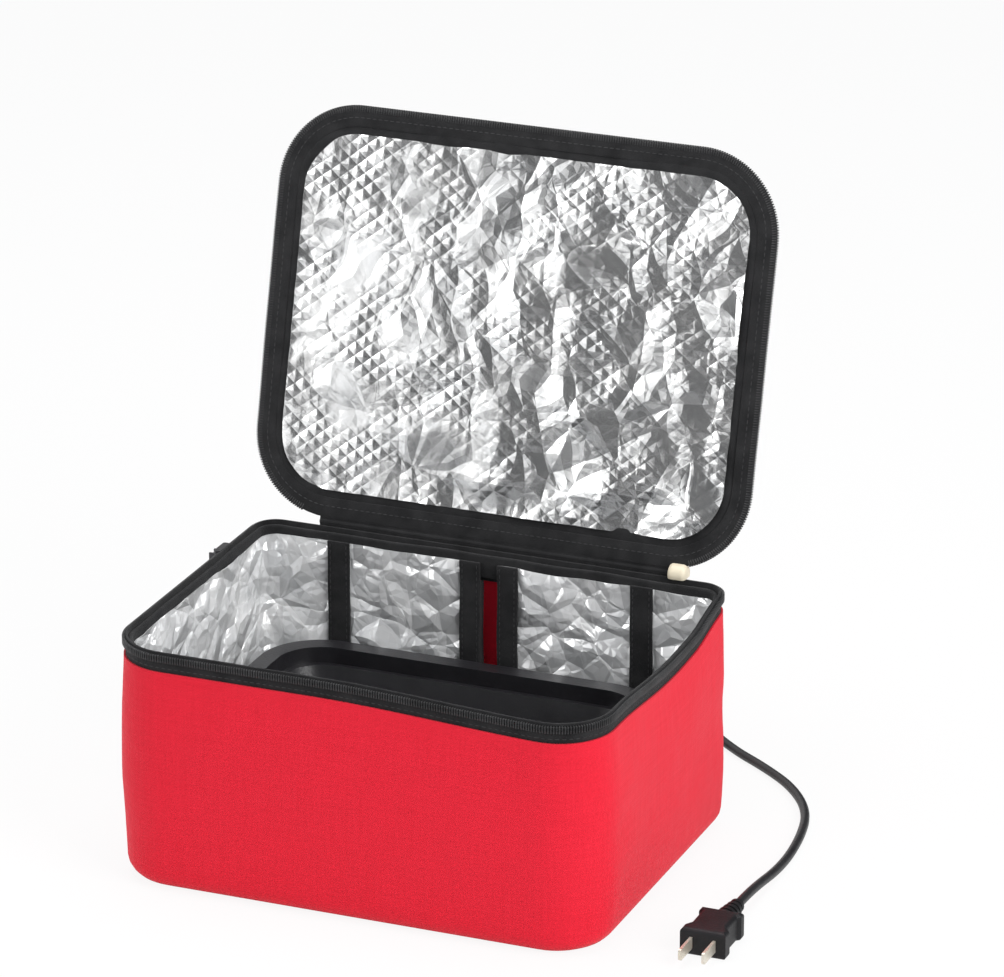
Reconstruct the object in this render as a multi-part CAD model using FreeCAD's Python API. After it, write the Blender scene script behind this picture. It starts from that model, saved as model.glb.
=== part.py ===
"""Portable oven: a soft zip-up bag with foil-lined foam walls, a padded lid on a fabric hinge,
a lift-out electric heating plate, a food tray that stands on the plate, and a mains cord.

Millimetres, +Z up. The origin is the middle of the bag's base, on the surface that it stands on.
+X runs along the bag's long front and +Y from the front to the hinge. The lid is stored open.
"""

import FreeCAD
import Part
import math
import os

from FreeCAD import Vector

# Bag, outside sizes
BAG_WIDTH = 274.0
BAG_DEPTH = 202.0
BAG_HEIGHT = 136.0
CORNER_RADIUS = 32.0
REAR_CORNER_RADIUS = 14.0
LEAST_CORNER_RADIUS = 2.0
BASE_RADIUS = 11.0
REAR_SEAM_INSET = 42.0

# Layers of the wall, from the outside in
FABRIC = 1.0
FOAM = 4.0
FOIL = 0.6
LAYER_GAP = 0.12
BASE_BOARD = 2.4
BASE_BOARD_MARGIN = 14.0

# Zip rim of the bag
RIM_SHOWN = 11.0
RIM_LAP = 7.0
ZIP_TAPE = 1.2
RIM_BINDING = 2.6
RIM_BINDING_HEIGHT = 13.0
RIM_BINDING_DROP = 2.5
CHAIN_BEAD_HEIGHT = 2.6
CHAIN_BEAD_DEPTH = 1.1
CHAIN_DROP = 3.2
TOOTH_LENGTH = 2.2
TOOTH_HEIGHT = 4.0
TOOTH_DEPTH = 1.9
TOOTH_PITCH = 4.6
CHAIN_TO_HINGE = 11.0

# Cord slot in the rear lining, with bound edges
SLOT_GAP = 13.0
BINDING_WIDTH = 12.0
BINDING_THICKNESS = 1.4
CORNER_BINDING_WIDTH = 13.0

# Lid, drawn closed and then turned open about the hinge
LID_OVERHANG_SIDE = 7.0
LID_OVERHANG_FRONT = 26.0
LID_CORNER_RADIUS = 46.0
LID_GAP = 0.6
LID_FOAM = 9.0
LID_TAPE_WIDTH = 8.0
LID_BINDING_WIDTH = 11.0
LID_BINDING_HEIGHT = 12.0
LID_BINDING_ROUND = 4.0
LID_CROWN = 2.0
LID_OPEN_ANGLE = 104.5
HINGE_END_INSET = 35.0
HINGE_BEAD_RADIUS = 1.5
HINGE_RISE = 2.0
HINGE_SET_BACK = 2.4
HINGE_TONGUE = 1.2
RUNNING_GAP = 0.3

# Carrying strap on the outside of the lid
STRAP_WIDTH = 25.0
STRAP_THICKNESS = 1.8
STRAP_SPAN = 118.0
STRAP_RISE = 20.0
STRAP_BEND = 15.0
STRAP_SEWN_END = 24.0

# Zip slider and its pull, parked at the rear of the left side
SLIDER_LENGTH = 13.0
SLIDER_HEIGHT = 8.4
SLIDER_WALL = 1.5
SLIDER_FROM_REAR = 51.0
EAR_THICKNESS = 1.2
EAR_REACH = 4.2
EAR_GAP = 5.0
PULL_PIN_RADIUS = 0.8
PULL_PIN_GAP = 0.08
PULL_EYE_RADIUS = 1.9
PULL_LENGTH = 24.0
PULL_WIDTH = 6.4
PULL_THICKNESS = 1.6
END_STOP_RADIUS = 5.5
END_STOP_ROUND = 2.4

# Heating plate
PLATE_SIDE_CLEARANCE = 12.2
PLATE_END_CLEARANCE = 9.6
PLATE_HEIGHT = 22.0
PLATE_RADIUS = 13.0
PLATE_WALL = 2.4
PLATE_SHEET = 1.8
PLATE_EDGE = 1.0
PLATE_LIP = 3.0
PLATE_LIP_HEIGHT = 2.0
SHEET_GAP = 0.35
FOOT_HEIGHT = 8.0
FOOT_LENGTH = 28.0
FOOT_SLOPE = 5.0
NOTCH_WIDTH = 17.0
NOTCH_DEPTH = 5.0
NOTCH_DROP = 3.6
HEATER_MARGIN = 16.0
HEATER_THICKNESS = 1.0
HEATER_STRIP = 7.0
HEATER_PASSES = 7
FELT_THICKNESS = 3.0
THERMOSTAT_RADIUS = 8.0
THERMOSTAT_HEIGHT = 4.0
PAN_THICKNESS = 1.2
BOSS_RADIUS = 4.0
BOSS_INSET = 17.0
SCREW_RADIUS = 1.5
SCREW_HEAD_RADIUS = 2.9
SCREW_HEAD_HEIGHT = 1.6
SCREW_GAP = 0.05

# Food tray
TRAY_SIDE_MARGIN = 6.0
TRAY_END_MARGIN = 7.0
TRAY_HEIGHT = 48.0
TRAY_FLANGE = 9.0
TRAY_FLANGE_THICKNESS = 1.4
TRAY_LIP_DROP = 3.0
TRAY_WALL = 1.2
TRAY_TAPER = 12.0
TRAY_RADIUS = 34.0
TRAY_STEP = 3.0
TRAY_STEP_HEIGHT = 9.0
TRAY_FLOOR_RADIUS = 6.0
SEAT_GAP = 0.1

# Mains cord, its seat in the rear wall and its plug
CORD_DIAMETER = 5.0
GROMMET_RADIUS = 6.0
GROMMET_FLANGE = 1.6
GROMMET_INNER_RADIUS = 8.0
RELIEF_LENGTH = 22.0
RELIEF_TIP_RADIUS = 3.6
GLAND_RADIUS = 3.6
GLAND_FLANGE = 0.7
GLAND_FLANGE_LENGTH = 1.5
GLAND_LENGTH = 7.0
COIL_RADIUS = 38.5
COIL_PITCH = 5.6
COIL_HALF_TURNS = 6
TIE_THICKNESS = 0.8
TIE_WIDTH = 9.0
TIE_GAP = 0.3
PLUG_WIDTH = 25.0
PLUG_THICKNESS = 15.0
PLUG_LENGTH = 30.0
PLUG_WAIST = 20.0
PLUG_COLLAR = 4.0
PLUG_ROUND = 2.4
PLUG_RELIEF_LENGTH = 24.0
PLUG_RIBS = 5
BLADE_SPACING = 12.7
BLADE_WIDTH = 6.4
BLADE_THICKNESS = 1.5
BLADE_LENGTH = 17.0

X_AXIS = Vector(1, 0, 0)
Y_AXIS = Vector(0, 1, 0)
Z_AXIS = Vector(0, 0, 1)

# Heights and insets that several pieces share
WALL_BUILD = FABRIC + FOAM + FOIL + 2 * LAYER_GAP
SHELL_TOP = BAG_HEIGHT - RIM_SHOWN
TAPE_BOTTOM = SHELL_TOP - RIM_LAP
FOAM_TOP = TAPE_BOTTOM - LAYER_GAP
BOARD_BOTTOM = FABRIC + LAYER_GAP
FOAM_BOTTOM = BOARD_BOTTOM + BASE_BOARD + LAYER_GAP
WALL_FOAM_BOTTOM = BASE_RADIUS + LAYER_GAP
FLOOR_FOIL_BOTTOM = FOAM_BOTTOM + FOAM + LAYER_GAP
FLOOR_TOP = FLOOR_FOIL_BOTTOM + FOIL
PLATE_BOTTOM = FLOOR_TOP + SEAT_GAP
PLATE_TOP = PLATE_BOTTOM + PLATE_HEIGHT
PLATE_WIDTH = BAG_WIDTH - 2 * (WALL_BUILD + PLATE_SIDE_CLEARANCE)
PLATE_DEPTH = BAG_DEPTH - 2 * (WALL_BUILD + PLATE_END_CLEARANCE)
PAN_BOTTOM = PLATE_BOTTOM + FOOT_HEIGHT
PAN_TOP = PAN_BOTTOM + PAN_THICKNESS
SHEET_SEAT = PLATE_TOP - PLATE_SHEET - LAYER_GAP
CORD_EXIT_HEIGHT = (PAN_TOP + SHEET_SEAT - PLATE_LIP_HEIGHT) / 2
TRAY_WIDTH = PLATE_WIDTH - 2 * TRAY_SIDE_MARGIN
TRAY_DEPTH = PLATE_DEPTH - 2 * TRAY_END_MARGIN
TRAY_BOTTOM = PLATE_TOP + SEAT_GAP
HINGE_LENGTH = BAG_WIDTH - 2 * HINGE_END_INSET
HINGE_Y = BAG_DEPTH / 2
HINGE_Z = BAG_HEIGHT + HINGE_RISE
LID_BOTTOM = BAG_HEIGHT + LID_GAP
LID_LENGTH = BAG_DEPTH - HINGE_SET_BACK + LID_OVERHANG_FRONT
CORD_RADIUS = CORD_DIAMETER / 2


def both_ends(radius):
    """Corner radii at the front and the rear, from one radius or from a pair."""
    return radius if isinstance(radius, tuple) else (radius, radius)


def taken_in(radius, amount):
    """Corner radii of an outline that lies inside another by amount."""
    return tuple(max(end - amount, LEAST_CORNER_RADIUS) for end in both_ends(radius))


def outline(width, depth, radius, z, centre=(0.0, 0.0)):
    """A rounded rectangle as a closed wire of lines and quarter arcs at height z."""
    cx, cy = centre
    a, b = width / 2, depth / 2
    front, rear = both_ends(radius)
    near, far = front * (1 - math.sqrt(0.5)), rear * (1 - math.sqrt(0.5))

    def at(x, y):
        return Vector(cx + x, cy + y, z)

    corners = [
        (at(a - front, -b), at(a - near, -b + near), at(a, -b + front)),
        (at(a, b - rear), at(a - far, b - far), at(a - rear, b)),
        (at(-a + rear, b), at(-a + far, b - far), at(-a, b - rear)),
        (at(-a, -b + front), at(-a + near, -b + near), at(-a + front, -b)),
    ]
    edges = []
    for index, (start, middle, end) in enumerate(corners):
        edges.append(Part.Arc(start, middle, end).toShape())
        edges.append(Part.LineSegment(end, corners[(index + 1) % 4][0]).toShape())
    return Part.Wire(edges)


def block(width, depth, radius, bottom, top, centre=(0.0, 0.0)):
    """A rounded rectangle raised from bottom to top."""
    face = Part.Face(outline(width, depth, radius, bottom, centre))
    return face.extrude(Vector(0, 0, top - bottom))


def ring(width, depth, radius, wall, bottom, top, centre=(0.0, 0.0)):
    """A rounded rectangular band whose outside is width by depth."""
    outer = block(width, depth, radius, bottom, top, centre)
    inner = block(width - 2 * wall, depth - 2 * wall, taken_in(radius, wall), bottom, top, centre)
    return outer.cut(inner)


def slab(low, high):
    """A box between two corners."""
    return Part.makeBox(high[0] - low[0], high[1] - low[1], high[2] - low[2], Vector(*low))


def fillet_at(shape, radius, picks):
    """Rounds the edges for which picks(bound box of the edge) is true."""
    edges = [e for e in shape.Edges if picks(e.BoundBox)]
    return shape.makeFillet(radius, edges)


def level(height):
    """A test for edges that lie flat at one height."""
    return lambda box: abs(box.ZMin - height) < 1e-6 and abs(box.ZMax - height) < 1e-6


def tub(width, depth, radius, round_radius, bottom, top):
    """A block with its bottom edge rounded, as a sewn bag or a pressed tub is."""
    return fillet_at(block(width, depth, radius, bottom, top), round_radius, level(bottom))


def prism(points, direction):
    """A flat outline of straight edges, pushed along direction."""
    return Part.Face(Part.makePolygon([*points, points[0]])).extrude(direction)


def inset(layer):
    """Plan size and corner radii of the bag, taken in by a wall thickness."""
    radii = taken_in((CORNER_RADIUS, REAR_CORNER_RADIUS), layer)
    return BAG_WIDTH - 2 * layer, BAG_DEPTH - 2 * layer, radii


def opened(shape):
    """Turns a piece of the closed lid back to the stored open pose."""
    turned = shape.copy()
    turned.rotate(Vector(0, HINGE_Y, HINGE_Z), X_AXIS, -LID_OPEN_ANGLE)
    return turned


# Bag: sewn outer fabric, stiffening board, foam boards and foil lining


def outer_shell():
    """Red fabric tub, with a round hole low in its rear wall for the cord's grommet."""
    solid = tub(*inset(0.0), BASE_RADIUS, 0.0, SHELL_TOP)
    width, depth, radius = inset(FABRIC)
    solid = solid.cut(tub(width, depth, radius, BASE_RADIUS - FABRIC, FABRIC, SHELL_TOP + FABRIC))
    hole = Part.makeCylinder(
        GROMMET_RADIUS + LAYER_GAP,
        3 * FABRIC,
        Vector(0, BAG_DEPTH / 2 - 2 * FABRIC, CORD_EXIT_HEIGHT),
        Y_AXIS,
    )
    return solid.cut(hole)


def base_board():
    """Stiff sheet that lies in the bottom of the fabric tub, under the foam."""
    width, depth, radius = inset(FABRIC + BASE_BOARD_MARGIN)
    return block(width, depth, radius, BOARD_BOTTOM, BOARD_BOTTOM + BASE_BOARD)


def foam_wall_space():
    """The band between fabric and lining that the foam boards fill."""
    width, depth, radius = inset(FABRIC + LAYER_GAP)
    return ring(width, depth, radius, FOAM, WALL_FOAM_BOTTOM, FOAM_TOP)


def cord_clearance():
    """The space round the grommet that the rear boards keep free."""
    width = 2 * (GROMMET_INNER_RADIUS + LAYER_GAP)
    return slab((-width / 2, 0, 0), (width / 2, BAG_DEPTH, CORD_EXIT_HEIGHT + width / 2))


def wall_panels(space):
    """Cuts a band round the bag into front, sides and the two halves of the rear."""
    half_width = BAG_WIDTH / 2
    half_depth = BAG_DEPTH / 2
    side = half_width - REAR_SEAM_INSET
    high = BAG_HEIGHT
    gap = LAYER_GAP / 2
    boxes = {
        "front": ((-half_width, -half_depth, 0), (half_width, -half_depth + CORNER_RADIUS - gap, high)),
        "left": ((-half_width, -half_depth + CORNER_RADIUS + gap, 0), (-side - gap, half_depth, high)),
        "right": ((side + gap, -half_depth + CORNER_RADIUS + gap, 0), (half_width, half_depth, high)),
        "rear_left": ((-side + gap, 0, 0), (-SLOT_GAP / 2, half_depth, high)),
        "rear_right": ((SLOT_GAP / 2, 0, 0), (side - gap, half_depth, high)),
    }
    panels = {}
    for name, (low, to) in boxes.items():
        panels[name] = space.common(slab(low, to))
    return panels


def foam_boards():
    """Foam boards behind each lining panel, and one under the floor."""
    boards = wall_panels(foam_wall_space())
    keep_clear = cord_clearance()
    for name in ("rear_left", "rear_right"):
        boards[name] = boards[name].cut(keep_clear)
    width, depth, radius = inset(FABRIC + 2 * LAYER_GAP + FOAM)
    boards["floor"] = block(width, depth, radius, FOAM_BOTTOM, FOAM_BOTTOM + FOAM)
    return boards


def foil_panels():
    """Foil lining, one panel for each board, with the floor panel inside the walls."""
    width, depth, radius = inset(FABRIC + FOAM + 2 * LAYER_GAP)
    space = ring(width, depth, radius, FOIL, FLOOR_FOIL_BOTTOM, FOAM_TOP)
    panels = wall_panels(space)
    keep_clear = cord_clearance()
    for name in ("rear_left", "rear_right"):
        panels[name] = panels[name].cut(keep_clear)
    width, depth, radius = inset(WALL_BUILD + LAYER_GAP)
    panels["floor"] = block(width, depth, radius, FLOOR_FOIL_BOTTOM, FLOOR_TOP)
    return panels


def slot_bindings():
    """Two black tapes folded over the edges of the cord slot."""
    inner = BAG_DEPTH / 2 - WALL_BUILD - LAYER_GAP
    outer = BAG_DEPTH / 2 - FABRIC - LAYER_GAP
    bottom = CORD_EXIT_HEIGHT + GROMMET_INNER_RADIUS + 2 * LAYER_GAP
    edge = SLOT_GAP / 2 - LAYER_GAP
    tapes = []
    for side in (-1, 1):
        near = side * (edge - BINDING_THICKNESS)
        far = side * (edge - BINDING_THICKNESS + BINDING_WIDTH)
        cover = slab(
            (min(near, far), inner - BINDING_THICKNESS, bottom), (max(near, far), inner, FOAM_TOP)
        )
        fold = slab(
            (min(near, side * edge), inner, bottom), (max(near, side * edge), outer, FOAM_TOP)
        )
        tapes.append(cover.fuse(fold).removeSplitter())
    return Part.makeCompound(tapes)


def corner_bindings():
    """Black tapes over the lining's seams, where the rear panels meet the sides."""
    inner = BAG_DEPTH / 2 - WALL_BUILD - LAYER_GAP
    seam = BAG_WIDTH / 2 - REAR_SEAM_INSET
    tapes = []
    for side in (-1, 1):
        middle = side * (seam - CORNER_BINDING_WIDTH / 2)
        tapes.append(
            slab(
                (middle - CORNER_BINDING_WIDTH / 2, inner - BINDING_THICKNESS, FLOOR_TOP + LAYER_GAP),
                (middle + CORNER_BINDING_WIDTH / 2, inner, FOAM_TOP),
            )
        )
    return Part.makeCompound(tapes)


# Zip rim: tape, folded binding, toothed chain and end tab


def rim_tape():
    """Black zip tape, sewn inside the top of the fabric and standing above it."""
    width, depth, radius = inset(FABRIC + LAYER_GAP)
    return ring(width, depth, radius, ZIP_TAPE, TAPE_BOTTOM, BAG_HEIGHT)


def rim_binding():
    """Binding that closes the top of the lining and the foam, inside the zip tape."""
    width, depth, radius = inset(FABRIC + 2 * LAYER_GAP + ZIP_TAPE)
    top = BAG_HEIGHT - RIM_BINDING_DROP
    bottom = max(top - RIM_BINDING_HEIGHT, FOAM_TOP + LAYER_GAP)
    band = ring(width, depth, radius, RIM_BINDING, bottom, top)
    return fillet_at(band, RIM_BINDING * 0.4, level(top))


def zip_stations(width, depth, radius, hinge_half, rear, pitch):
    """Places along a U-shaped chain, as (point, outward direction), from one hinge end to the other.

    The path runs along the outside of a rounded rectangle whose rear edge is at y = rear. Each leg
    has its length, its start or centre, its direction or radius, and the angle where an arc starts.
    """
    a = width / 2
    front = rear - depth
    near, far = both_ends(radius)
    run_x = a - far - hinge_half
    run_y = depth - near - far
    legs = [
        (run_x, Vector(hinge_half, rear, 0), X_AXIS, None),
        (far * math.pi / 2, Vector(a - far, rear - far, 0), far, 90),
        (run_y, Vector(a, rear - far, 0), -Y_AXIS, None),
        (near * math.pi / 2, Vector(a - near, front + near, 0), near, 0),
        (2 * (a - near), Vector(a - near, front, 0), -X_AXIS, None),
        (near * math.pi / 2, Vector(-a + near, front + near, 0), near, -90),
        (run_y, Vector(-a, front + near, 0), Y_AXIS, None),
        (far * math.pi / 2, Vector(-a + far, rear - far, 0), far, 180),
        (run_x, Vector(-a + far, rear, 0), X_AXIS, None),
    ]
    total = sum(leg[0] for leg in legs)
    count = int(total / pitch)
    stations = []
    for index in range(count):
        along = (index + 0.5) * total / count
        for length, start, course, angle in legs:
            if along <= length:
                break
            along -= length
        if angle is not None:
            turn = math.radians(angle) - along / course
            outward = Vector(math.cos(turn), math.sin(turn), 0)
            stations.append((start + outward * course, outward))
        else:
            outward = Vector(-course.y, course.x, 0)
            if abs(course.x) > 0.5:
                outward = Vector(0, 1 if start.y > rear - far else -1, 0)
            stations.append((start + course * along, outward))
    return stations


def tooth(point, outward, low, length, reach, height):
    """One zip tooth: a block that stands out from the tape along outward."""
    along = Vector(-outward.y, outward.x, 0)
    corner = point - along * (length / 2) + Vector(0, 0, low)
    base = Part.makePolygon(
        [
            corner,
            corner + along * length,
            corner + along * length + outward * reach,
            corner + outward * reach,
            corner,
        ]
    )
    return Part.Face(base).extrude(Vector(0, 0, height))


def rear_gap(half_length, rear, bottom, top):
    """The stretch of rim, centred on the hinge, that has no zip."""
    return slab((-half_length, rear - CORNER_RADIUS, bottom), (half_length, rear + CORNER_RADIUS, top))


def bag_chain():
    """Toothed half of the zip on the bag: a sewn bead with its teeth, from hinge end to hinge end."""
    width, depth, radius = inset(FABRIC + LAYER_GAP)
    middle = BAG_HEIGHT - CHAIN_DROP
    low = middle - CHAIN_BEAD_HEIGHT / 2
    bead = ring(
        width + 2 * CHAIN_BEAD_DEPTH,
        depth + 2 * CHAIN_BEAD_DEPTH,
        taken_in(radius, -CHAIN_BEAD_DEPTH),
        CHAIN_BEAD_DEPTH,
        low,
        low + CHAIN_BEAD_HEIGHT,
    )
    hinge_half = HINGE_LENGTH / 2 + CHAIN_TO_HINGE
    bead = bead.cut(rear_gap(hinge_half, BAG_DEPTH / 2, low, BAG_HEIGHT))
    tooth_low = middle - TOOTH_HEIGHT / 2
    teeth = [
        tooth(point, outward, tooth_low, TOOTH_LENGTH, TOOTH_DEPTH, TOOTH_HEIGHT)
        for point, outward in zip_stations(width, depth, radius, hinge_half, depth / 2, TOOTH_PITCH)
    ]
    return bead.multiFuse(teeth)


def end_stop_reach():
    """Where the end stop starts and ends along the hinge line, clear of the bead and the chain."""
    return HINGE_LENGTH / 2 + LAYER_GAP, HINGE_LENGTH / 2 + CHAIN_TO_HINGE - 2 * RUNNING_GAP


def zip_end_stop():
    """Cream moulded stop at the right-hand end of the hinge line, flat where it sits on the rim."""
    start, end = end_stop_reach()
    stop = Part.makeCylinder(END_STOP_RADIUS, end - start, Vector(start, HINGE_Y, HINGE_Z), X_AXIS)
    stop = fillet_at(stop, END_STOP_ROUND, lambda box: box.XLength < 1e-6)
    rim = slab((start, 0, 0), (end, BAG_DEPTH, BAG_HEIGHT + LAYER_GAP))
    return stop.cut(rim)


# Fabric hinge: a corded bead on the bag and the tongue of the lid that turns round it


def hinge_bead():
    """Corded edge sewn to the rear rim. Its round bead lies on the hinge line."""
    half = HINGE_LENGTH / 2
    face = BAG_DEPTH / 2 - FABRIC
    flange = slab((-half, face, SHELL_TOP + LAYER_GAP), (half, face + FABRIC, HINGE_Z))
    bead = Part.makeCylinder(HINGE_BEAD_RADIUS, HINGE_LENGTH, Vector(-half, HINGE_Y, HINGE_Z), X_AXIS)
    return flange.fuse(bead).removeSplitter()


def lid_plan():
    """Plan size, corner radius and centre of the closed lid's zip tape."""
    width = BAG_WIDTH + 2 * LID_OVERHANG_SIDE
    rear = HINGE_Y - HINGE_SET_BACK
    return width, LID_LENGTH, LID_CORNER_RADIUS, (0.0, rear - LID_LENGTH / 2)


def lid_ring(take_in, wall, bottom, top):
    """A band of the closed lid, taken in from the edge of its zip tape."""
    width, depth, radius, centre = lid_plan()
    return ring(width - 2 * take_in, depth - 2 * take_in, radius - take_in, wall, bottom, top, centre)


def lid_block(take_in, bottom, top):
    """A sheet of the closed lid, taken in from the edge of its zip tape."""
    width, depth, radius, centre = lid_plan()
    return block(width - 2 * take_in, depth - 2 * take_in, radius - take_in, bottom, top, centre)


def lid_tape():
    """Flat zip tape round the lid, notched at the rear for the end stop."""
    tape = lid_ring(0.0, LID_TAPE_WIDTH, LID_BOTTOM, LID_BOTTOM + ZIP_TAPE)
    start, end = end_stop_reach()
    notch = slab(
        (start - RUNNING_GAP, HINGE_Y - END_STOP_RADIUS - RUNNING_GAP, BAG_HEIGHT),
        (end + RUNNING_GAP, HINGE_Y, BAG_HEIGHT + 2 * END_STOP_RADIUS),
    )
    return tape.cut(notch).cut(hinge_tongue_space())


def lid_chain():
    """Toothed half of the zip on the lid, along the outer edge of its tape."""
    width, depth, radius, centre = lid_plan()
    rear = centre[1] + depth / 2
    low = LID_BOTTOM + ZIP_TAPE
    bead = lid_ring(TOOTH_DEPTH, CHAIN_BEAD_HEIGHT, low, low + CHAIN_BEAD_DEPTH)
    hinge_half = HINGE_LENGTH / 2 + CHAIN_TO_HINGE
    bead = bead.cut(rear_gap(hinge_half, rear, low, low + TOOTH_DEPTH))
    line = TOOTH_HEIGHT
    teeth = [
        tooth(point, outward, low, TOOTH_LENGTH, TOOTH_HEIGHT, TOOTH_DEPTH)
        for point, outward in zip_stations(
            width - 2 * line, depth - 2 * line, radius - line, hinge_half, rear - line, TOOTH_PITCH
        )
    ]
    return bead.multiFuse(teeth)


def lid_binding():
    """Rounded black binding that closes the edge of the padded lid."""
    bottom = LID_BOTTOM
    top = bottom + LID_BINDING_HEIGHT
    band = lid_ring(LID_TAPE_WIDTH + LAYER_GAP, LID_BINDING_WIDTH, bottom, top)
    band = fillet_at(band, LID_BINDING_ROUND, lambda box: level(bottom)(box) or level(top)(box))
    return band.cut(hinge_tongue_space())


def hinge_tongue_space():
    """Room for the tongue where it runs under the lid's binding."""
    half = HINGE_LENGTH / 2 + LAYER_GAP
    rear = HINGE_Y - HINGE_SET_BACK
    front = rear - LID_TAPE_WIDTH - LID_BINDING_WIDTH / 2
    low = HINGE_Z - HINGE_TONGUE / 2 - LAYER_GAP
    return slab((-half, front - LAYER_GAP, low), (half, rear, low + HINGE_TONGUE + 2 * LAYER_GAP))


def hinge_tongue():
    """Lid half of the hinge: a tape from inside the binding to the corded bead."""
    half = HINGE_LENGTH / 2
    rear = HINGE_Y - HINGE_BEAD_RADIUS - RUNNING_GAP
    front = HINGE_Y - HINGE_SET_BACK - LID_TAPE_WIDTH - LID_BINDING_WIDTH / 2
    low = HINGE_Z - HINGE_TONGUE / 2
    return slab((-half, front, low), (half, rear, low + HINGE_TONGUE))


def lid_cover():
    """Red outer fabric of the lid, slightly crowned over its foam."""
    take_in = LID_TAPE_WIDTH + LID_BINDING_WIDTH + 2 * LAYER_GAP
    bottom = LID_BOTTOM + FOIL + LID_FOAM + 2 * LAYER_GAP
    top = bottom + FABRIC + LID_CROWN
    return fillet_at(lid_block(take_in, bottom, top), LID_CROWN, level(top))


def lid_foam():
    """Foam board between the lid's cover and its foil."""
    take_in = LID_TAPE_WIDTH + LID_BINDING_WIDTH + 2 * LAYER_GAP
    bottom = LID_BOTTOM + FOIL + LAYER_GAP
    return lid_block(take_in, bottom, bottom + LID_FOAM)


def lid_foil():
    """Foil lining on the inside of the lid."""
    take_in = LID_TAPE_WIDTH + LID_BINDING_WIDTH + 2 * LAYER_GAP
    return lid_block(take_in, LID_BOTTOM, LID_BOTTOM + FOIL)


def lid_top():
    """Height of the closed lid's outer fabric."""
    return LID_BOTTOM + FOIL + LID_FOAM + 2 * LAYER_GAP + FABRIC + LID_CROWN


def carry_strap():
    """Webbing strap: two ends sewn flat on the lid and an arched grip between them."""
    low = lid_top() + LAYER_GAP
    half = STRAP_SPAN / 2
    middle_y = lid_plan()[3][1]

    def arch(rise):
        base = low + rise - STRAP_RISE - STRAP_THICKNESS / 2
        reach = STRAP_BEND
        poles = [
            Vector(-half, 0, base),
            Vector(-half + reach, 0, base),
            Vector(-half + reach, 0, low + rise),
            Vector(0, 0, low + rise),
            Vector(half - reach, 0, low + rise),
            Vector(half - reach, 0, base),
            Vector(half, 0, base),
        ]
        left = Part.BezierCurve()
        left.setPoles(poles[:4])
        right = Part.BezierCurve()
        right.setPoles(poles[3:])
        return [left.toShape(), right.toShape()], poles[0], poles[-1]

    upper, upper_left, upper_right = arch(STRAP_RISE + STRAP_THICKNESS * 1.5)
    lower, lower_left, lower_right = arch(STRAP_RISE + STRAP_THICKNESS * 0.5)
    edges = [
        *upper,
        Part.LineSegment(upper_right, lower_right).toShape(),
        *lower,
        Part.LineSegment(lower_left, upper_left).toShape(),
    ]
    face = Part.Face(Part.Wire(Part.__sortEdges__(edges)))
    grip = face.extrude(Vector(0, STRAP_WIDTH, 0))
    grip.translate(Vector(0, middle_y - STRAP_WIDTH / 2, 0))
    pieces = [grip]
    for side in (-1, 1):
        near, far = side * half, side * (half + STRAP_SEWN_END)
        pieces.append(
            slab(
                (min(near, far), middle_y - STRAP_WIDTH / 2, low),
                (max(near, far), middle_y + STRAP_WIDTH / 2, low + STRAP_THICKNESS),
            )
        )
    return pieces[0].multiFuse(pieces[1:]).removeSplitter()


# Zip slider and pull


def slider_place():
    """Where the slider stands: outer face of the tape, middle of the chain, and its middle in y."""
    face = -BAG_WIDTH / 2 + FABRIC + LAYER_GAP
    y = BAG_DEPTH / 2 - SLIDER_FROM_REAR
    return face, y, BAG_HEIGHT - CHAIN_DROP


def pull_pivot():
    """Centre of the pin that the pull hangs from."""
    face, y, z = slider_place()
    body = TOOTH_DEPTH + 2 * RUNNING_GAP + SLIDER_WALL
    return Vector(face - body - EAR_REACH / 2, y, z - SLIDER_HEIGHT / 4)


def zip_slider():
    """Slider that hooks over the teeth on the left side, with two ears and a pin for the pull."""
    face, y, z = slider_place()
    reach = RUNNING_GAP + TOOTH_DEPTH + RUNNING_GAP + SLIDER_WALL
    top = BAG_HEIGHT - RUNNING_GAP
    low = z - SLIDER_HEIGHT / 2 - RUNNING_GAP
    half = SLIDER_LENGTH / 2
    body = slab((face - reach, y - half, low), (face - RUNNING_GAP, y + half, top))
    outer = face - reach / 2
    tall = SLIDER_HEIGHT / 2
    body = fillet_at(body, SLIDER_WALL * 0.9, lambda box: box.ZLength > tall and box.XMax < outer)
    slot = slab(
        (face - reach + SLIDER_WALL, y - half - 1, z - TOOTH_HEIGHT / 2 - RUNNING_GAP),
        (face, y + half + 1, z + TOOTH_HEIGHT / 2 + RUNNING_GAP),
    )
    body = body.cut(slot)
    pivot = pull_pivot()
    ears = []
    for side in (-1, 1):
        start = y + side * EAR_GAP / 2
        end = start + side * EAR_THICKNESS
        ears.append(
            slab(
                (pivot.x - EAR_REACH / 2, min(start, end), pivot.z - PULL_EYE_RADIUS),
                (face - reach, max(start, end), pivot.z + PULL_EYE_RADIUS),
            )
        )
    pin_length = EAR_GAP + 2 * EAR_THICKNESS
    pin = Part.makeCylinder(PULL_PIN_RADIUS, pin_length, pivot - Y_AXIS * (pin_length / 2), Y_AXIS)
    return body.multiFuse([*ears, pin]).removeSplitter()


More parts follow.
